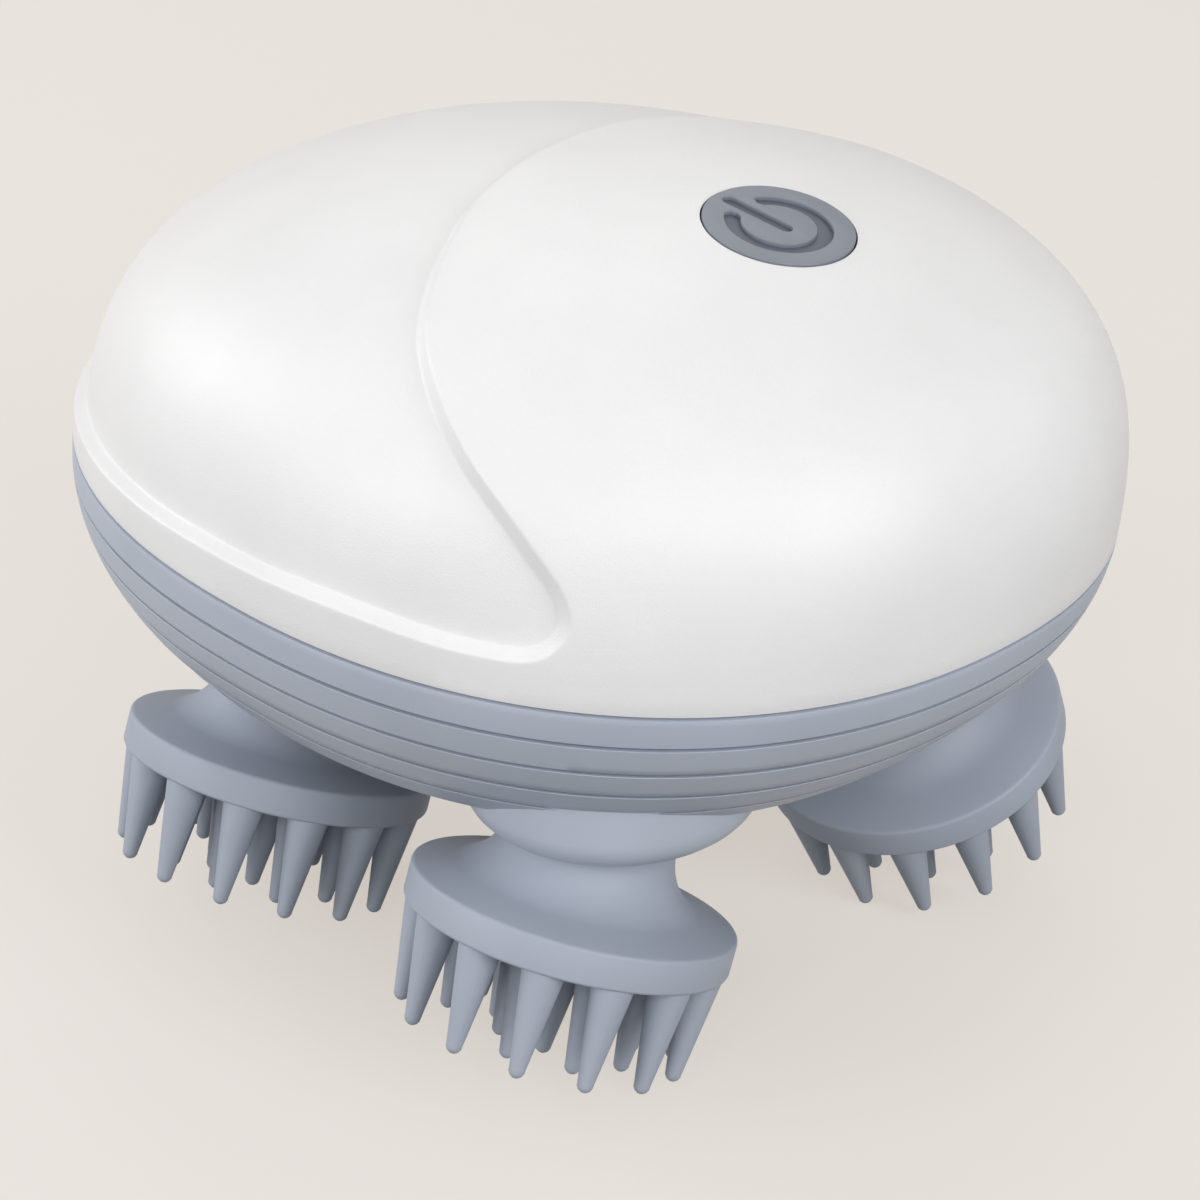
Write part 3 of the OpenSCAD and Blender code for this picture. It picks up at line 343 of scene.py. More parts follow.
def closed_curve(points, steps):
    """Smooth closed curve through the points, with so many steps between each pair."""
    points = np.array(points, float)
    count = len(points)
    out = []
    for i in range(count):
        a, b, c, d = (points[(i + k) % count] for k in (-1, 0, 1, 2))
        square, cube = 2 * a - 5 * b + 4 * c - d, 3 * b - a - 3 * c + d
        for t in np.arange(steps) / steps:
            out.append(0.5 * (2 * b + (c - a) * t + square * t**2 + cube * t**3))
    return np.array(out)


# ---- Skin of the body ----
def signed_power(v, power):
    """Power of a number's size that keeps its sign."""
    return np.sign(v) * np.abs(v) ** power


def plan(turn):
    """Shares of the half length and of the half width at a turn round the plan."""
    across = signed_power(np.cos(turn), 2 / PLAN_POWER)
    return across, signed_power(np.sin(turn), 2 / PLAN_POWER) * (1 + EGG * across)


def lean(z):
    """X of the middle of the section at a height."""
    return SHIFT + np.where(z > GIRTH_Z, (z - GIRTH_Z) / DOME_RISE, (z - GIRTH_Z) / BOWL_DEPTH) * LEAN


def body_point(turn, fall, inset=0.0):
    """Points on the body's skin, or inset from it.

    The turn goes round the body. The fall goes from 0 at the top of the dome to a right angle at the girth.
    """
    dome = np.cos(fall) >= 0
    power = np.where(dome, DOME_POWER, BOWL_POWER)
    depth = np.where(dome, DOME_RISE, BOWL_DEPTH) - inset
    sine, cosine = np.abs(np.sin(fall)), np.abs(np.cos(fall))
    reach = (sine**power + cosine**power) ** (-1 / power)
    share = sine * reach
    z = GIRTH_Z + np.where(dome, 1, -1) * depth * cosine * reach
    across, along = plan(turn)
    crown = np.where(dome & (share < CROWN_REACH), CROWN_RISE * (1 - (share / CROWN_REACH) ** 2) ** 2, 0)
    x = across * (HALF_LENGTH - inset) * share + lean(z)
    y = along * (HALF_WIDTH - inset) * share
    return np.stack(np.broadcast_arrays(x, y, z + crown), -1)


def fall_at(turn, height_of):
    """Fall at which the skin reaches the height that height_of(x) asks for."""
    z = np.full(np.shape(turn), SEAM_Z)
    for _ in range(6):
        dome = z > GIRTH_Z
        power = np.where(dome, DOME_POWER, BOWL_POWER)
        level = (z - GIRTH_Z) / np.where(dome, DOME_RISE, BOWL_DEPTH)
        share = (1 - np.abs(level) ** power) ** (1 / power)
        z = height_of(plan(turn)[0] * HALF_LENGTH * share + lean(z))
    return np.arctan2(share, level)


def seam_fall(turn, lift=0.0):
    """Fall of the seam, or of a line a little above it."""
    return fall_at(turn, lambda x: SEAM_Z + SEAM_SLOPE * x + lift)


def seam_ring(turn, lift, inset):
    """Points round the seam, lifted along Z and pushed in from the skin at that height."""
    ring = body_point(turn, seam_fall(turn, lift))
    pushed = body_point(turn, seam_fall(turn, lift), inset)
    pushed[..., 2] = ring[..., 2]
    return pushed


def level_ring(turn, height, inset):
    """Points round the body at one height, pushed in from the skin there."""
    fall = fall_at(turn, lambda x: np.full(np.shape(x), float(height)))
    ring = body_point(turn, fall, inset)
    ring[..., 2] = height
    return ring


# ---- Outline of the sunk wrap panel ----
# Guide points of the panel's edge over the top of the dome, as x and y at one height
PANEL_TOP = [(0.6, 15), (-1.2, 4.5), (-0.4, -6)]
PANEL_TOP_Z = 92
# Guide points on the front side, from the top down to the tip and on to the ledge
PANEL_SIDE = [
    (3.6, -21, 91), (10.6, -32.6, 87), (17.6, -39, 83), (26.8, -43, 77.5), (36, -43.2, 70.6),
    (39.6, -42.6, 66.6), (40.2, -42.5, 63.2), (38.2, -43.8, 60.4), (34, -45.8, 59.7), (25, -49.2, 60.2),
    (8, -51.8, 60.75),
]  # fmt: skip
# The ledge as turns in degrees and heights above the seam, from the back end round the front side
LEDGE = [(180, 3.6), (197, 3.6), (213, 3.7), (229, 4.05), (243, 4.5), (255, 4.95), (265, 5.4)]
OUTLINE_STEPS = 24


def turn_and_fall(point):
    """Place on the skin of a point near it."""
    x, y, z = point
    across = (x - float(lean(np.array(z)))) / HALF_LENGTH
    along = y / HALF_WIDTH / (1 + EGG * across)
    share = (abs(across) ** PLAN_POWER + abs(along) ** PLAN_POWER) ** (1 / PLAN_POWER)
    along = y / HALF_WIDTH / (1 + EGG * across / share)
    turn = math.atan2(signed_power(along, PLAN_POWER / 2), signed_power(across, PLAN_POWER / 2))
    crown = CROWN_RISE * (1 - (share / CROWN_REACH) ** 2) ** 2 if share < CROWN_REACH else 0
    return turn, math.atan2(share, (z - crown - GIRTH_Z) / DOME_RISE)


def flat_place(turn, fall):
    """The skin laid out flat as a round map with the top of the dome at its middle."""
    return np.stack([fall * np.cos(turn), fall * np.sin(turn)], -1)


def panel_outline():
    """Closed outline of the panel as places on the round map."""
    front = [flat_place(*turn_and_fall(p)) for p in PANEL_SIDE]
    back = [flat_place(*turn_and_fall((x, -y, z))) for x, y, z in PANEL_SIDE]
    top = [flat_place(*turn_and_fall((x, y, PANEL_TOP_Z))) for x, y in PANEL_TOP]
    ledge = []
    for degrees, lift in LEDGE + [(360 - degrees, lift) for degrees, lift in LEDGE[1:]]:
        turn = np.array(math.radians(degrees))
        ledge.append(flat_place(turn, seam_fall(turn, lift)))
    ledge.sort(key=lambda p: -math.atan2(p[1], p[0]) % (2 * math.pi))
    return closed_curve(top + front + ledge + back[::-1], OUTLINE_STEPS)


class Panel:
    """Tells how far any place on the skin lies inside the panel's outline."""

    def __init__(self):
        self.places = panel_outline()
        turn = np.arctan2(self.places[:, 1], self.places[:, 0])
        self.points = body_point(turn, np.hypot(self.places[:, 0], self.places[:, 1]))
        self.tree = kdtree.KDTree(len(self.points))
        for i, point in enumerate(self.points):
            self.tree.insert(point, i)
        self.tree.balance()

    def inside(self, places, points):
        """Signed distance in millimetres, positive inside."""
        count = len(self.points)
        out = np.empty(len(points))
        for k, (place, point) in enumerate(zip(places, points)):
            i = self.tree.find(point)[1]
            best = 1e9
            for a, b in ((i - 1, i), (i, (i + 1) % count)):
                side = self.points[b] - self.points[a]
                t = min(1.0, max(0.0, float(np.dot(point - self.points[a], side) / np.dot(side, side))))
                gap = float(np.linalg.norm(point - self.points[a] - t * side))
                if gap < best:
                    best = gap
                    edge = self.places[b] - self.places[a]
                    off = place - self.places[a]
                    sign = 1 if edge[0] * off[1] - edge[1] * off[0] < 0 else -1
            out[k] = sign * best
        return out

    def near(self, point):
        """Distance of a point from the outline in millimetres."""
        return self.tree.find(point)[2]

    def sunk(self, places, points):
        """Depth of the panel at each place."""
        low = smoothstep((LEDGE_RAMP_Z - points[:, 2]) / LEDGE_RAMP_SPAN)
        ramp = RAMP_WIDTH + (LEDGE_RAMP - RAMP_WIDTH) * low
        return PANEL_DEPTH * soft_ramp(self.inside(places, points) / ramp + 0.5)


# ---- Sheets of cells over the dome ----
def to_disc(u, v):
    """Takes a square from -1 to 1 to a round disc: share of its radius and turn."""
    radius = np.maximum(np.abs(u), np.abs(v))
    wide = np.abs(u) >= np.abs(v)
    safe_u, safe_v = np.where(u == 0, 1, u), np.where(v == 0, 1, v)
    turn = np.where(wide, np.pi / 4 * v / safe_u, np.pi / 2 - np.pi / 4 * u / safe_v)
    turn = turn + np.where(wide, np.where(u < 0, np.pi, 0), np.where(v < 0, np.pi, 0))
    return radius, turn


def halved_cells(cells, levels, near):
    """Cells of a square sheet, halved up to so many times where near(radius, turn, level) asks for it.

    Returns the corners' u and v and each cell's corners, with those of its smaller neighbours.
    """
    full = 2**levels
    size = cells * full
    i, j = np.meshgrid(np.arange(cells) * full, np.arange(cells) * full, indexing="ij")
    todo, done, step = np.stack([i.ravel(), j.ravel()], 1), [], full
    for level in range(levels):
        middle = (todo + step / 2) * 2 / size - 1
        split = near(*to_disc(middle[:, 0], middle[:, 1]), level)
        done.append((todo[~split], step))
        step //= 2
        todo = np.concatenate([todo[split] + np.array(o) * step for o in ((0, 0), (0, 1), (1, 0), (1, 1))])
    done.append((todo, step))
    index = {}
    for corners, step in done:
        for di, dj in ((0, 0), (step, 0), (0, step), (step, step)):
            for key in map(tuple, corners + (di, dj)):
                index.setdefault(key, len(index))
    faces = []
    for corners, step in done:
        for a, b in corners.tolist():
            walk = [(a + k, b) for k in range(step)]
            walk += [(a + step, b + k) for k in range(step)]
            walk += [(a + step - k, b + step) for k in range(step)]
            walk += [(a, b + step - k) for k in range(step)]
            faces.append([index[key] for key in walk if key in index])
    grid = np.array(list(index)) * 2 / size - 1
    return grid[:, 0], grid[:, 1], faces


def dome_sheet(cells, levels, near, inset, lift):
    """Corners, cells, edge loop and its turns, of a sheet over the dome down to lift above the seam."""
    u, v, faces = halved_cells(cells, levels, near)
    radius, turn = to_disc(u, v)
    fall = radius * seam_fall(turn, lift)
    places = flat_place(turn, fall)
    points = body_point(turn, fall)
    sunk = inset(places, points) if callable(inset) else inset
    points = body_point(turn, fall, sunk)
    edge = np.nonzero(radius > 1 - 1e-9)[0]
    edge = edge[np.argsort(turn[edge] % (2 * np.pi))]
    if not callable(inset):
        points[edge, 2] = SEAM_Z + SEAM_SLOPE * points[edge, 0] + lift
    return points, faces, edge, turn[edge] % (2 * np.pi)


def make_dome(material):
    """The white dome with its sunk wrap panel, its rim, its tongue and its inner wall."""
    panel = Panel()

    def by_the_panel(radius, turn, level):
        """Whether a cell lies so near the panel's edge that it is halved again."""
        points = body_point(turn, radius * seam_fall(turn))
        return np.array([panel.near(p) for p in points]) < FINE_BAND + FINE_SPREAD / 2**level

    def by_the_rim(radius, turn, level):
        """Whether a cell of the inner wall lies by the rim."""
        return radius > RIM_SHARE

    outer, faces, edge, turns = dome_sheet(DOME_CELLS, DOME_LEVELS, by_the_panel, panel.sunk, DOME_LIFT)
    inner, inner_faces, inner_edge, inner_turns = dome_sheet(
        DOME_CELLS // 2, 1, by_the_rim, DOME_WALL, DOME_LIFT
    )
    verts = [tuple(p) for p in outer]
    last = list(edge)
    for lift, inset in DOME_RIM:
        ring = list(range(len(verts), len(verts) + len(turns)))
        verts += [tuple(p) for p in seam_ring(turns, lift, inset)]
        faces += zip(last, ring, ring[1:] + ring[:1], last[1:] + last[:1])
        last = ring
    start = len(verts)
    verts += [tuple(p) for p in inner]
    stops = list(np.searchsorted(turns, inner_turns - 1e-6)) + [len(last)]
    for k, corner in enumerate(inner_edge):
        arc_corners = [last[i % len(last)] for i in range(stops[k], stops[k + 1] + 1)]
        faces.append(arc_corners + [start + inner_edge[(k + 1) % len(inner_edge)], start + corner])
    faces += [[start + i for i in face][::-1] for face in inner_faces]
    dome = finished_object("white_dome", verts, faces, material)
    outward(dome)
    well = rod(BUTTON_R + BUTTON_GAP, BUTTON_WELL_BOTTOM, BUTTON_WELL_TOP)
    carve(dome, turned(well, ROUND_STEPS, button_place()), "DIFFERENCE")
    smooth_by_angle(dome, 40)
    return dome


# ---- Grooved base ----
def base_rings():
    """Rings of the base's outside from its rim down, over bands and grooves to the floor's edge."""
    turn = np.arange(BODY_STEPS) * 2 * np.pi / BODY_STEPS
    rings = [seam_ring(turn, lift, inset) for lift, inset in BASE_RIM]
    for k in range(GROOVE_COUNT):
        rings += [seam_ring(turn, -(k + stop) * BAND_HEIGHT, 0) for stop in BAND_STOPS]
        middle = -(k + 1) * BAND_HEIGHT
        for off, depth in GROOVE_SECTION:
            rings.append(seam_ring(turn, middle - off * GROOVE_WIDTH, depth * GROOVE_DEPTH))
    return rings + [level_ring(turn, UNDERSIDE_Z + height, inset) for height, inset in FLOOR_EDGE]


def hollow_of_base():
    """Inside of the base, from its floor up past the seam."""
    turn = np.arange(HOLLOW_STEPS) * 2 * np.pi / HOLLOW_STEPS
    return skin([level_ring(turn, height, WALL) for height in HOLLOW_HEIGHTS])


def rebate_of_base():
    """The step round the base's rim that the dome's tongue drops into."""
    turn = np.arange(BODY_STEPS) * 2 * np.pi / BODY_STEPS
    return skin([seam_ring(turn, lift, REBATE_DEPTH) for lift in REBATE_HEIGHTS])


def upright(profile, steps, x, y):
    """Solid of revolution about an upright axis."""
    return turned(profile, steps, Matrix.Translation((x, y, 0)))


def hub_profile():
    """A hub with a rounded lower edge; its top ends inside the bowl and is hollowed out with it."""
    profile = [(0, HUB_UNDERSIDE)]
    for k in range(9):
        angle = math.pi / 2 * k / 8
        radius = HUB_R - HUB_ROUND + HUB_ROUND * math.sin(angle)
        profile.append((radius, HUB_UNDERSIDE + HUB_ROUND * (1 - math.cos(angle))))
    return profile + [(HUB_R, HUB_TOP), (0, HUB_TOP)]


def make_base(material):
    """The blue-grey base: bands, hubs, screw wells, the necks' sockets and the port."""
    base = finished_object("grooved_base", *skin(base_rings()[::-1]), material)
    outward(base)
    for pivot, _ in HEADS.values():
        carve(base, upright(hub_profile(), ROUND_STEPS, pivot.x, pivot.y), "UNION")

    # The hollow leaves the bosses of the heads and the posts of the screws standing
    hollow = finished_object("hollow", *hollow_of_base(), material)
    outward(hollow)
    boss = [(0, HUB_BOSS_BOTTOM), (HUB_BOSS_R, HUB_BOSS_BOTTOM), (HUB_BOSS_R, HUB_BOSS_TOP)]
    boss += [(BUSH_BOSS_R, HUB_BOSS_TOP), (BUSH_BOSS_R, BUSH_BOSS_TOP), (0, BUSH_BOSS_TOP)]
    for pivot, side in HEADS.values():
        carve(hollow, turned(boss, BOSS_STEPS, head_place(pivot, side)), "DIFFERENCE")
    post = rod(SCREW_POST_R, SCREW_POST_BOTTOM, SCREW_POST_TOP)
    for x, y in SCREWS_AT:
        carve(hollow, upright(post, SCREW_STEPS, x, y), "DIFFERENCE")
    cut_with(base, hollow, "DIFFERENCE")
    carve(base, rebate_of_base(), "DIFFERENCE")

    socket = [(0, NECK_SOCKET_BOTTOM), (NECK_SOCKET_R, NECK_SOCKET_BOTTOM), (NECK_SOCKET_R, NECK_SOCKET_TOP)]
    socket += [(SEAL_POCKET_R, NECK_SOCKET_TOP), (SEAL_POCKET_R, SEAL_POCKET_TOP)]
    socket += [(BUSH_BORE_R, SEAL_POCKET_TOP), (BUSH_BORE_R, BUSH_BORE_TOP), (0, BUSH_BORE_TOP)]
    for pivot, side in HEADS.values():
        carve(base, turned(socket, BOSS_STEPS, head_place(pivot, side)), "DIFFERENCE")
    well = rod(SCREW_WELL_R, SCREW_WELL_BOTTOM, SCREW_WELL_TOP)
    bore = rod(SCREW_BORE_R, SCREW_BORE_BOTTOM, SCREW_BORE_TOP)
    for x, y in SCREWS_AT:
        carve(base, upright(well, SCREW_STEPS, x, y), "DIFFERENCE")
        carve(base, upright(bore, BORE_STEPS, x, y), "DIFFERENCE")

    face_x, middle_z = port_place()
    seat = inset_oval(PORT_FLANGE, -PORT_GAP)
    carve(base, port_prism(seat, face_x - PORT_SEAT_REACH, face_x + PORT_FLANGE[2], middle_z), "DIFFERENCE")
    opening = inset_oval(PORT_OPENING, 0)
    carve(base, port_prism(opening, face_x, face_x + PORT_OPENING_DEPTH, middle_z), "DIFFERENCE")
    smooth_by_angle(base, 35)
    return base


# ---- Heads ----
def head_place(pivot, side):
    """Frame of a head: origin at its pivot, Z up along its leaning axis."""
    return Matrix.Translation(pivot) @ Matrix.Rotation(math.radians(side * HEAD_TILT), 4, "X")


def make_head_cup(name, pivot, side, material):
    """Silicone cup: neck, flared top, band and flat face under it."""
    profile = [(0, NECK_TOP)]
    profile += [(NECK_R + out, NECK_TOP + up) for out, up in NECK_EDGE]
    profile.append((NECK_R, NECK_BOTTOM))
    for degrees in range(0, 80, 5):
        angle = math.radians(degrees)
        radius = NECK_R + FLARE_REACH * (1 - math.cos(angle))
        profile.append((radius, FLARE_TOP - FLARE_DROP * math.sin(angle)))
    profile += [(DISC_R + out, BAND_TOP + up) for out, up in DISC_EDGE]
    for k in range(6):
        angle = math.pi / 2 * k / 5
        radius = DISC_R - LIP_ROUND * (1 - math.cos(angle))
        profile.append((radius, BAND_BOTTOM + LIP_ROUND * (1 - math.sin(angle))))
    profile.append((0, BAND_BOTTOM))
    verts, faces = turned(profile, ROUND_STEPS, head_place(pivot, side))
    cup = finished_object(name + "_cup", verts, [f[::-1] for f in faces], material)
    outward(cup)
    smooth_by_angle(cup, 60)
    return cup


def pin_shape(material):
    """One pin with its root at the origin and its round tip down."""
    tip_z = pin_tip_height() + PIN_TIP_R - BAND_BOTTOM
    slope = math.atan2(PIN_ROOT_R - PIN_TIP_R, -tip_z)
    profile = [(0, PIN_ROOT_SUNK), (PIN_ROOT_R, PIN_ROOT_SUNK), (PIN_ROOT_R, 0)]
    for k in range(5):
        angle = slope - (math.pi / 2 + slope) * k / 4
        profile.append((PIN_TIP_R * math.cos(angle), tip_z + PIN_TIP_R * math.sin(angle)))
    profile[-1] = (0, tip_z - PIN_TIP_R)
    verts, faces = turned(profile, PIN_STEPS)
    pin = finished_object("pin", verts, [f[::-1] for f in faces], material)
    outward(pin)
    return pin


def pin_tip_height():
    """Level of the pins' tips along the head's axis: the lowest tip stands on the floor."""
    pivot, _ = HEADS["front_right"]
    tilt = math.radians(HEAD_TILT)
    count, radius, _ = PIN_RINGS[0]
    lowest = min(-radius * math.sin(2 * math.pi * i / count) for i in range(count))
    return (PIN_TIP_R - pivot.z - lowest * math.sin(tilt)) / math.cos(tilt) - PIN_TIP_R


def pin_ring_nodes(pin, material):
    """Node tree that sets pins on rings, and the identifiers of its inputs for each ring."""
    tree = bpy.data.node_groups.new("pin_rings", "GeometryNodeTree")
    tree.interface.new_socket("Geometry", in_out="INPUT", socket_type="NodeSocketGeometry")
    kinds = {"Count": "NodeSocketInt", "Radius": "NodeSocketFloat", "Turn": "NodeSocketFloat"}
    sockets = []
    for k in range(len(PIN_RINGS)):
        for label, kind in kinds.items():
            sockets.append(tree.interface.new_socket(f"{label} {k + 1}", in_out="INPUT", socket_type=kind))
    tree.interface.new_socket("Geometry", in_out="OUTPUT", socket_type="NodeSocketGeometry")
    nodes, links = tree.nodes, tree.links
    source = nodes.new("NodeGroupInput")
    pin_info = nodes.new("GeometryNodeObjectInfo")
    pin_info.inputs["Object"].default_value = pin
    gather = nodes.new("GeometryNodeJoinGeometry")
    for k in range(len(PIN_RINGS)):
        circle = nodes.new("GeometryNodeMeshCircle")
        links.new(source.outputs[f"Count {k + 1}"], circle.inputs["Vertices"])
        links.new(source.outputs[f"Radius {k + 1}"], circle.inputs["Radius"])
        spin = nodes.new("ShaderNodeCombineXYZ")
        links.new(source.outputs[f"Turn {k + 1}"], spin.inputs["Z"])
        move = nodes.new("GeometryNodeTransform")
        links.new(circle.outputs["Mesh"], move.inputs["Geometry"])
        links.new(spin.outputs["Vector"], move.inputs["Rotation"])
        place = nodes.new("GeometryNodeInstanceOnPoints")
        links.new(move.outputs["Geometry"], place.inputs["Points"])
        links.new(pin_info.outputs["Geometry"], place.inputs["Instance"])
        links.new(place.outputs["Instances"], gather.inputs["Geometry"])
    realize = nodes.new("GeometryNodeRealizeInstances")
    links.new(gather.outputs["Geometry"], realize.inputs["Geometry"])
    dye = nodes.new("GeometryNodeSetMaterial")
    dye.inputs["Material"].default_value = material
    links.new(realize.outputs["Geometry"], dye.inputs["Geometry"])
    end = nodes.new("NodeGroupOutput")
    links.new(dye.outputs["Geometry"], end.inputs["Geometry"])
    return tree, [s.identifier for s in sockets]


def make_pins(name, pivot, side, tree, identifiers, material):
    """The pins of one head, set on the cup's flat face."""
    holder = finished_object(name + "_pins", [(0, 0, 0)], [], material)
    grow = holder.modifiers.new("pins", "NODES")
    grow.node_group = tree
    values = [v for count, radius, turn in PIN_RINGS for v in (count, radius * MM, math.radians(turn))]
    for identifier, value in zip(identifiers, values):
        grow[identifier] = value
    bpy.context.view_layer.update()
    evaluated = holder.evaluated_get(bpy.context.evaluated_depsgraph_get())
    mesh = bpy.data.meshes.new_from_object(evaluated)
    holder.modifiers.clear()
    holder.data = mesh
    place = head_place(pivot * MM, side) @ Matrix.Translation((0, 0, BAND_BOTTOM * MM))
    if side < 0:
        mesh.transform(Matrix.Diagonal((1, -1, 1, 1)))
        mesh.flip_normals()
    mesh.transform(place)
    smooth_by_angle(holder, 50)
    return holder


# ---- Button ----
def button_place():
    """Frame of the button: origin on the dome, Z out along the way it presses."""
    inward = Vector(JOINTS["button_press"]["axis"])
    tilt = math.atan2(-inward.x, -inward.z)
    fall = turn_and_fall((BUTTON_X, 0, BUTTON_Z))[1]
    top = body_point(np.array(0.0), np.array(fall))
    return Matrix.Translation((BUTTON_X, 0, float(top[2]))) @ Matrix.Rotation(tilt, 4, "Y")


def flat_shape(name, outlines, thickness, edge, material, place):
    """Plate with rounded edges cut from closed outlines, the first being its rim."""
    curve = bpy.data.curves.new(name, "CURVE")
    curve.dimensions = "2D"
    curve.fill_mode = "BOTH"
    for outline in outlines:
        spline = curve.splines.new("POLY")
        spline.points.add(len(outline) - 1)
        for point, (x, y) in zip(spline.points, outline):
            point.co = (x * MM, y * MM, 0, 1)
        spline.use_cyclic_u = True
    curve.extrude = (thickness / 2 - edge) * MM
    curve.bevel_depth = edge * MM
    curve.bevel_resolution = 2
    curve.offset = -edge * MM
    holder = bpy.data.objects.new(name, curve)
    bpy.context.scene.collection.objects.link(holder)
    bpy.context.view_layer.update()
    mesh = bpy.data.meshes.new_from_object(holder.evaluated_get(bpy.context.evaluated_depsgraph_get()))
    bpy.data.objects.remove(holder)
    bpy.data.curves.remove(curve)
    piece = bpy.data.objects.new(name, mesh)
    bpy.context.scene.collection.objects.link(piece)
    mesh.materials.clear()
    mesh.materials.append(material)
    mesh.transform(Matrix.Translation((0, 0, -thickness / 2 * MM)))
    scaled = place.copy()
    scaled.translation = place.translation * MM
    mesh.transform(scaled)
    outward(piece)
    smooth_by_angle(piece, 35)
    return piece


def on_circle(radius, degrees, centre=(0, 0)):
    """Point at an angle on a circle."""
    angle = math.radians(degrees)
    return centre[0] + radius * math.cos(angle), centre[1] + radius * math.sin(angle)


def arc(radius, start, end, steps, centre=(0, 0)):
    """Points along an arc between two angles in degrees."""
    return [on_circle(radius, start + (end - start) * i / steps, centre) for i in range(steps + 1)]


def turned_flat(points, degrees):
    """Points turned about the origin of their plane."""
    c, s = math.cos(math.radians(degrees)), math.sin(math.radians(degrees))
    return [(x * c - y * s, x * s + y * c) for x, y in points]


def symbol_outlines():
    """Power symbol: an open ring with rounded ends and a bar with round ends."""
    inner, outer = RING_INNER * BUTTON_R, RING_OUTER * BUTTON_R
    inner_corner, outer_corner = math.degrees(RING_CORNER / inner), math.degrees(RING_CORNER / outer)
    start, end = RING_START, RING_START + RING_SWEEP
    ring = arc(outer, start + outer_corner, end - outer_corner, 72)
    ring += [on_circle(outer - RING_CORNER, end), on_circle(inner + RING_CORNER, end)]
    ring += arc(inner, end - inner_corner, start + inner_corner, 60)
    ring += [on_circle(inner + RING_CORNER, start), on_circle(outer - RING_CORNER, start)]
    bar = arc(BAR_HALF_WIDTH, 90, 270, 16, (BAR_FAR * BUTTON_R, 0))
    bar += arc(BAR_HALF_WIDTH, -90, 90, 16, (BAR_NEAR * BUTTON_R, 0))
    return [turned_flat(ring, SYMBOL_TURN), turned_flat(bar, SYMBOL_TURN)]


def make_button(face_material, recess_material):
    """The button's face with the symbol cut through it, and the darker body that shows in the symbol."""
    place = button_place()
    outlines = [arc(BUTTON_R, 0, 360, ROUND_STEPS)[:-1]] + symbol_outlines()
    sunk = place @ Matrix.Translation((0, 0, -FACE_SUNK))
    face = flat_shape("button_face", outlines, FACE_THICKNESS, FACE_EDGE, face_material, sunk)
    profile = [(0, -COLLAR_BOTTOM), (COLLAR_R, -COLLAR_BOTTOM), (COLLAR_R, -COLLAR_TOP)]
    profile += [(BUTTON_R, -COLLAR_TOP), (BUTTON_R, -SYMBOL_FLOOR - FLOOR_CHAMFER)]
    profile += [(BUTTON_R - FLOOR_CHAMFER, -SYMBOL_FLOOR), (0, -SYMBOL_FLOOR)]
    body = finished_object("button_body", *turned(profile, ROUND_STEPS, place), recess_material)
    outward(body)
    smooth_by_angle(body, 35)
    return face, body


# ---- Charging port plug ----
def port_place():
    """X of the plug's outer face and height of the port's middle."""
    low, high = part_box("port_plug")
    return low.x / MM, (low.z + high.z) / 2 / MM


def oval(width, height, steps=24):
    """Outline of a slot with round ends, long way along the first axis."""
    radius = height / 2
    straight = width / 2 - radius
    return arc(radius, -90, 90, steps, (straight, 0)) + arc(radius, 90, 270, steps, (-straight, 0))


def inset_oval(size, inset):
    """Outline of a slot inside one whose size starts with its width and its height."""
    return oval(size[0] - 2 * inset, size[1] - 2 * inset)


def port_prism(outline, near_x, far_x, middle_z):
    """Solid with the outline as its section, along X."""
    count = len(outline)
    verts = [(x, y, middle_z + z) for x in (near_x, far_x) for y, z in outline]
    faces = [list(range(count)), list(range(count, 2 * count))[::-1]]
    faces += [(i, i + count, (i + 1) % count + count, (i + 1) % count) for i in range(count)]
    return verts, faces


def make_port_plug(material):
    """Soft cover of the port: a flange, a pad inside a sunk ring, and the tongue that holds it."""
    end_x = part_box("port_plug")[1].x / MM
    face_x, middle_z = port_place()
    thickness = PORT_FLANGE[2]
    place = Matrix.Translation((face_x, 0, middle_z))
    place = place @ Matrix.Rotation(-math.pi / 2, 4, "Y") @ Matrix.Rotation(math.pi / 2, 4, "Z")
    flange = [inset_oval(PORT_FLANGE, 0), inset_oval(PORT_FLANGE, PLUG_RIM)]
    plug = flat_shape("port_plug_cover", flange, thickness, PLUG_EDGE, material, place)
    sunk = place @ Matrix.Translation((0, 0, -PAD_SUNK))
    pad = [inset_oval(PORT_FLANGE, PLUG_RIM + PLUG_RING)]
    cut_with(plug, flat_shape("pad", pad, PAD_THICKNESS, PLUG_EDGE, material, sunk), "UNION")
    # The back closes the sunk ring, and the tongue ends in a slimmer nose
    back = inset_oval(PORT_FLANGE, PLUG_BACK_INSET)
    back_x = (face_x + PLUG_RING_DEPTH, face_x + thickness - PLUG_BACK_GAP)
    carve(plug, port_prism(back, *back_x, middle_z), "UNION")
    tongue = inset_oval(PORT_TONGUE, 0)
    carve(plug, port_prism(tongue, face_x + TONGUE_ROOT, end_x - NOSE_LENGTH, middle_z), "UNION")
    nose = inset_oval(PORT_TONGUE, NOSE_INSET)
    carve(plug, port_prism(nose, end_x - 2 * NOSE_LENGTH, end_x, middle_z), "UNION")
    smooth_by_angle(plug, 35)
    return plug


# ---- Finishes ----
# Size of the clouds in a moulded colour, and of the fine marks in a metal's sheen
CLOUD_MM = 14.0
METAL_MARKS_MM = 0.3


def finish(name, colour, roughness):
    """New material of one colour and roughness, with its nodes, its links and its shader."""
    material = bpy.data.materials.new(name)
    material.use_nodes = True
    shader = material.node_tree.nodes["Principled BSDF"]
    shader.inputs["Base Color"].default_value = (*colour, 1)
    shader.inputs["Roughness"].default_value = roughness
    return material, material.node_tree.nodes, material.node_tree.links, shader


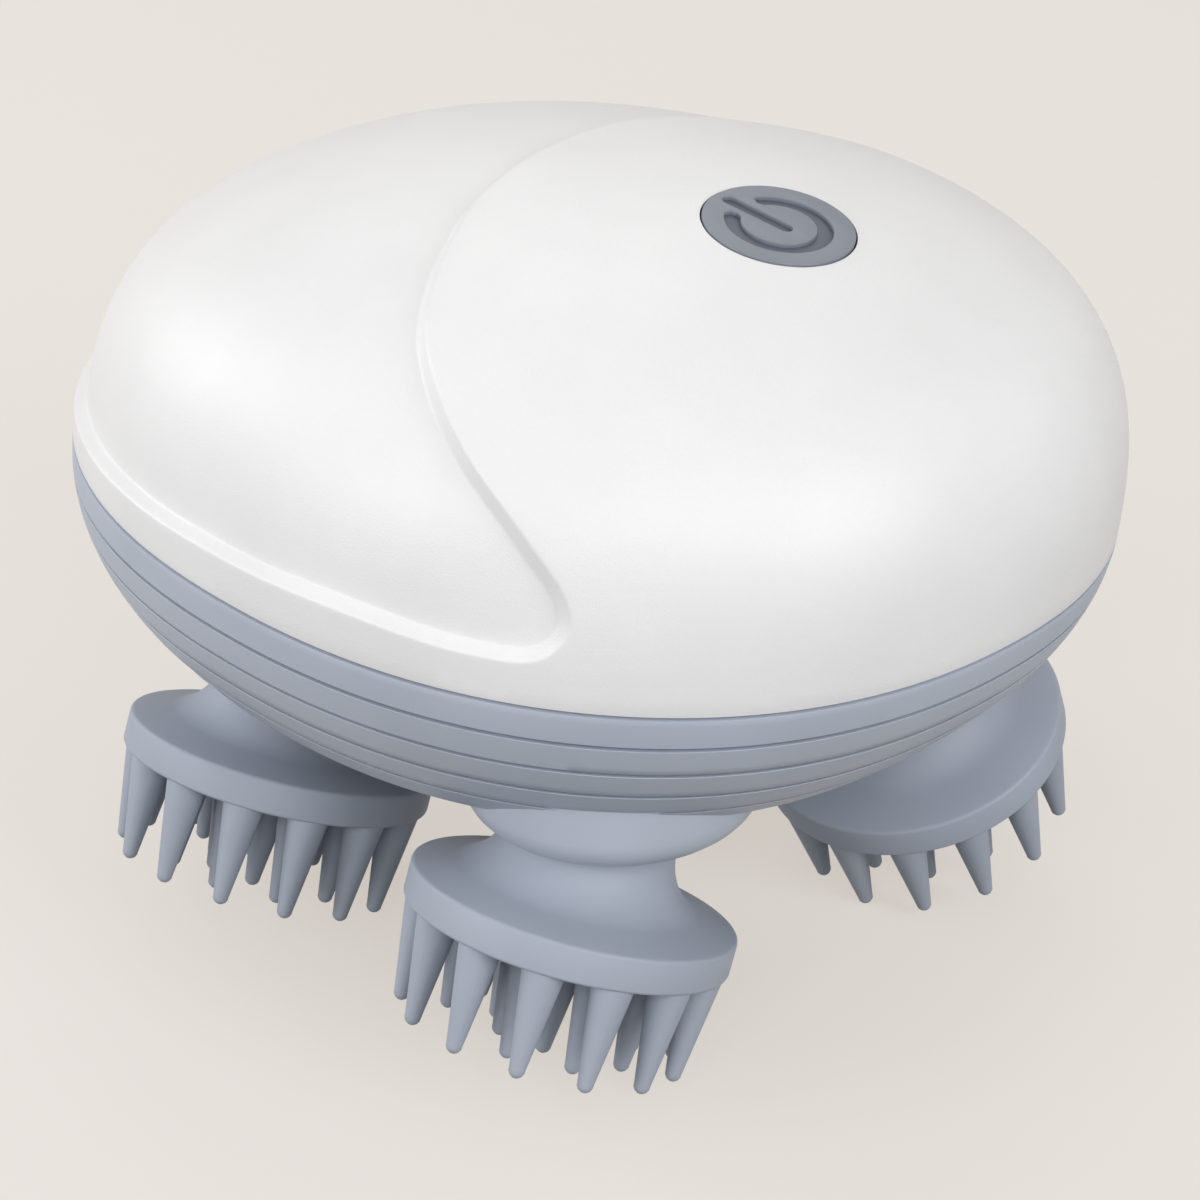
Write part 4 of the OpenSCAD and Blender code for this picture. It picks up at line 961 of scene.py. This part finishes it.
def linear(r, g, b):
    """Scene colour of an 8-bit screen colour."""
    return tuple(((c / 255 + 0.055) / 1.055) ** 2.4 if c > 10 else c / 255 / 12.92 for c in (r, g, b))


def grain(nodes, links, size_mm, detail=2.0):
    """Noise with spots of about the size, fixed to the piece."""
    place = nodes.new("ShaderNodeTexCoord")
    noise = nodes.new("ShaderNodeTexNoise")
    noise.inputs["Scale"].default_value = 1 / (size_mm * MM)
    noise.inputs["Detail"].default_value = detail
    links.new(place.outputs["Object"], noise.inputs["Vector"])
    return noise


def remap(nodes, links, source, low, high):
    """Spreads a noise, which lies mostly from 0.3 to 0.7, over low to high."""
    spread = nodes.new("ShaderNodeMapRange")
    spread.inputs["From Min"].default_value = 0.3
    spread.inputs["From Max"].default_value = 0.7
    spread.inputs["To Min"].default_value = low
    spread.inputs["To Max"].default_value = high
    links.new(source, spread.inputs["Value"])
    return spread.outputs["Result"]


def tint(nodes, links, source, low, high):
    """Mixes two colours by a noise."""
    blend = nodes.new("ShaderNodeMix")
    blend.data_type = "RGBA"
    blend.inputs["A"].default_value = (*low, 1)
    blend.inputs["B"].default_value = (*high, 1)
    links.new(remap(nodes, links, source, 0, 1), blend.inputs["Factor"])
    return blend.outputs["Result"]


def moulded(name, dark, light, rough, grain_mm, grain_depth):
    """Moulded plastic or silicone: fine grain in its relief and sheen, with a slow drift of colour.

    The colours are 8-bit screen colours, and rough holds the least and the greatest roughness.
    """
    dark, light = linear(*dark), linear(*light)
    material, nodes, links, shader = finish(name, light, sum(rough) / 2)
    fine = grain(nodes, links, grain_mm, 1.0)
    slow = grain(nodes, links, CLOUD_MM)
    links.new(tint(nodes, links, slow.outputs["Fac"], dark, light), shader.inputs["Base Color"])
    links.new(remap(nodes, links, fine.outputs["Fac"], *rough), shader.inputs["Roughness"])
    relief = nodes.new("ShaderNodeBump")
    relief.inputs["Strength"].default_value = 0.5
    relief.inputs["Distance"].default_value = grain_depth * MM
    links.new(fine.outputs["Fac"], relief.inputs["Height"])
    links.new(relief.outputs["Normal"], shader.inputs["Normal"])
    return material


def metal(name, colour, rough):
    """Bare metal of an 8-bit screen colour with fine marks in its sheen."""
    material, nodes, links, shader = finish(name, linear(*colour), rough)
    shader.inputs["Metallic"].default_value = 1.0
    fine = grain(nodes, links, METAL_MARKS_MM)
    marks = remap(nodes, links, fine.outputs["Fac"], rough * 0.8, rough * 1.2)
    links.new(marks, shader.inputs["Roughness"])
    return material


white_shell = moulded("white_shell", (236, 236, 237), (240, 240, 241), (0.36, 0.48), 0.2, 0.06)
grey_shell = moulded("grey_shell", (178, 186, 200), (184, 192, 206), (0.42, 0.52), 0.12, 0.008)
grey_silicone = moulded("grey_silicone", (164, 172, 186), (170, 178, 192), (0.5, 0.6), 0.2, 0.01)
button_grey = moulded("button_grey", (124, 130, 142), (131, 137, 149), (0.42, 0.5), 0.12, 0.006)
button_recess = moulded("button_recess", (92, 99, 112), (98, 105, 118), (0.5, 0.6), 0.12, 0.006)
seal_rubber = moulded("seal_rubber", (40, 40, 43), (48, 48, 52), (0.6, 0.7), 0.2, 0.01)
inner_plastic = moulded("inner_plastic", (214, 213, 208), (222, 221, 217), (0.4, 0.5), 0.2, 0.01)
circuit_laminate = moulded("circuit_laminate", (22, 84, 50), (28, 96, 58), (0.3, 0.4), 0.3, 0.01)
cell_sleeve = moulded("cell_sleeve", (42, 92, 168), (48, 100, 178), (0.25, 0.32), 0.5, 0.005)
plated_steel = metal("plated_steel", (196, 197, 200), 0.28)
turned_brass = metal("turned_brass", (200, 165, 92), 0.3)
FINISH_OF_SLOT = {
    "shell_white": white_shell,
    "shell_grey": grey_shell,
    "silicone_grey": grey_silicone,
    "dark_rubber": seal_rubber,
    "inner_plastic": inner_plastic,
    "gear_plastic": inner_plastic,
    "steel": plated_steel,
    "brass": turned_brass,
    "bronze": turned_brass,
    "cell_sleeve": cell_sleeve,
    "circuit_green": circuit_laminate,
    "black_plastic": seal_rubber,
}
for part in frame["record"]["subparts"]:
    node = frame["nodes"][part["node"]]
    node.data.materials.clear()
    node.data.materials.append(FINISH_OF_SLOT[part["material_slot"]])


# ---- Dressing ----
def dress(piece, body, slot, *nodes):
    """Lets a piece ride on a body and puts it in the place of the nodes. The slot is not used."""
    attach(piece, body)
    if nodes:
        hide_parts(*nodes)


dress(make_dome(white_shell), "body", "shell_white", "top_shell")
dress(make_base(grey_shell), "body", "shell_grey", "base_shell")
pin = pin_shape(grey_silicone)
tree, identifiers = pin_ring_nodes(pin, grey_silicone)
for name, (pivot, side) in HEADS.items():
    cup = make_head_cup(name, pivot, side, grey_silicone)
    dress(cup, name + "_head", "silicone_grey", name + "_massage_head")
    pins = make_pins(name, pivot, side, tree, identifiers, grey_silicone)
    dress(pins, name + "_head", "silicone_grey")
bpy.data.objects.remove(pin)
button_face, button_body = make_button(button_grey, button_recess)
dress(button_face, "button", "shell_grey", "button_cap")
dress(button_body, "button", "shell_grey")
dress(make_port_plug(grey_silicone), "port_plug", "silicone_grey", "port_plug")


# ---- Studio ----
# The floor in millimetres and 8-bit screen colours: as light meets it, as it is seen, and its glow
FLOOR_HALF = 4000
FLOOR_LIT = (110, 109, 108)
FLOOR_SEEN = (214, 215, 218)
FLOOR_GLOW = (238, 230, 220)
GLOW_STRENGTH = 1.14
GLOW_SHARE = 0.57
BACKDROP = (232, 227, 221)
SKY_COLOUR = (1.0, 0.99, 0.975)
SKY_STRENGTH = 0.4
# The camera: angles in degrees, its distance and target in millimetres, and its lens
CAMERA_AZIMUTH = 44.75
CAMERA_ELEVATION = 27.09
CAMERA_DISTANCE = 389.6
CAMERA_TARGET = (2.84, 0.43, 37.54)
CAMERA_LENS = 101.88
# What the lamps face, then each lamp's name, its place and its size in metres, and its power in watts
LAMP_TARGET = (0.003, 0, 0.05)
LAMPS = [
    ("front_softbox", (0.44, -0.56, 0.44), (0.55, 0.35), 1.7),
    ("near_softbox", (-0.3, -0.82, 0.3), (0.4, 0.4), 2.35),
    ("left_softbox", (-0.8, -0.34, 0.36), (0.4, 0.4), 2.1),
    ("right_softbox", (0.85, 0.0, 0.4), (0.4, 0.55), 3.5),
    ("back_softbox", (-0.4, 0.45, 0.7), (0.6, 0.5), 1.15),
]


def area_light(name, at, target, size, power):
    """Rectangular lamp that faces the target."""
    light = bpy.data.lights.new(name, "AREA")
    light.shape = "RECTANGLE"
    light.size, light.size_y = size
    light.energy = power
    holder = bpy.data.objects.new(name, light)
    holder.location = at
    holder.rotation_euler = (Vector(target) - Vector(at)).to_track_quat("-Z", "Y").to_euler()
    bpy.context.scene.collection.objects.link(holder)


def looked_at(nodes, links):
    """1 for a ray that shows the stage itself, straight on, in gloss or through glass."""
    path = nodes.new("ShaderNodeLightPath")
    direct = nodes.new("ShaderNodeMath")
    links.new(path.outputs["Is Camera Ray"], direct.inputs[0])
    links.new(path.outputs["Is Glossy Ray"], direct.inputs[1])
    shown = nodes.new("ShaderNodeMath")
    shown.use_clamp = True
    links.new(direct.outputs["Value"], shown.inputs[0])
    links.new(path.outputs["Is Transmission Ray"], shown.inputs[1])
    return shown.outputs["Value"]


def make_floor():
    """Pale floor, clear from below.

    What looks at it sees it glow a little, so its shadows stay light. It gives little light back.
    """
    material, nodes, links, shader = finish("studio_floor", linear(*FLOOR_LIT), 0.9)
    shader.inputs["Specular IOR Level"].default_value = 0.0
    seen = nodes.new("ShaderNodeBsdfDiffuse")
    seen.inputs["Color"].default_value = (*linear(*FLOOR_SEEN), 1)
    glow = nodes.new("ShaderNodeEmission")
    glow.inputs["Color"].default_value = (*linear(*FLOOR_GLOW), 1)
    glow.inputs["Strength"].default_value = GLOW_STRENGTH
    mixed = nodes.new("ShaderNodeMixShader")
    mixed.inputs["Fac"].default_value = GLOW_SHARE
    links.new(seen.outputs["BSDF"], mixed.inputs[1])
    links.new(glow.outputs["Emission"], mixed.inputs[2])
    choice = nodes.new("ShaderNodeMixShader")
    links.new(looked_at(nodes, links), choice.inputs["Fac"])
    links.new(shader.outputs["BSDF"], choice.inputs[1])
    links.new(mixed.outputs["Shader"], choice.inputs[2])
    side = nodes.new("ShaderNodeNewGeometry")
    clear = nodes.new("ShaderNodeBsdfTransparent")
    one_sided = nodes.new("ShaderNodeMixShader")
    links.new(side.outputs["Backfacing"], one_sided.inputs["Fac"])
    links.new(choice.outputs["Shader"], one_sided.inputs[1])
    links.new(clear.outputs["BSDF"], one_sided.inputs[2])
    links.new(one_sided.outputs["Shader"], nodes["Material Output"].inputs["Surface"])
    corners = [(x * FLOOR_HALF, y * FLOOR_HALF, 0) for x, y in ((-1, -1), (1, -1), (1, 1), (-1, 1))]
    finished_object("studio_floor", corners, [(0, 1, 2, 3)], material)


def make_camera():
    """Camera at the azimuth and elevation, looking at the target."""
    azimuth, elevation = math.radians(CAMERA_AZIMUTH), math.radians(CAMERA_ELEVATION)
    level = math.cos(elevation)
    forward = Vector((-math.sin(azimuth) * level, math.cos(azimuth) * level, -math.sin(elevation)))
    lens = bpy.data.cameras.new("camera")
    lens.lens = CAMERA_LENS
    lens.sensor_width = 36
    lens.clip_start = 0.01
    holder = bpy.data.objects.new("camera", lens)
    holder.location = (Vector(CAMERA_TARGET) - forward * CAMERA_DISTANCE) * MM
    holder.rotation_euler = forward.to_track_quat("-Z", "Y").to_euler()
    bpy.context.scene.collection.objects.link(holder)
    bpy.context.scene.camera = holder


def make_sky():
    """Soft light that is the same all round, behind a pale backdrop."""
    world = bpy.data.worlds.new("studio_sky")
    bpy.context.scene.world = world
    world.use_nodes = True
    nodes, links = world.node_tree.nodes, world.node_tree.links
    nodes["Background"].inputs["Color"].default_value = (*SKY_COLOUR, 1)
    nodes["Background"].inputs["Strength"].default_value = SKY_STRENGTH
    backdrop = nodes.new("ShaderNodeBackground")
    backdrop.inputs["Color"].default_value = (*linear(*BACKDROP), 1)
    backdrop.inputs["Strength"].default_value = 1.0
    choice = nodes.new("ShaderNodeMixShader")
    links.new(looked_at(nodes, links), choice.inputs["Fac"])
    links.new(nodes["Background"].outputs["Background"], choice.inputs[1])
    links.new(backdrop.outputs["Background"], choice.inputs[2])
    links.new(choice.outputs["Shader"], nodes["World Output"].inputs["Surface"])


make_floor()
make_camera()
for lamp, at, size, power in LAMPS:
    area_light(lamp, at, LAMP_TARGET, size, power)
make_sky()
bpy.context.scene.view_settings.view_transform = "Standard"
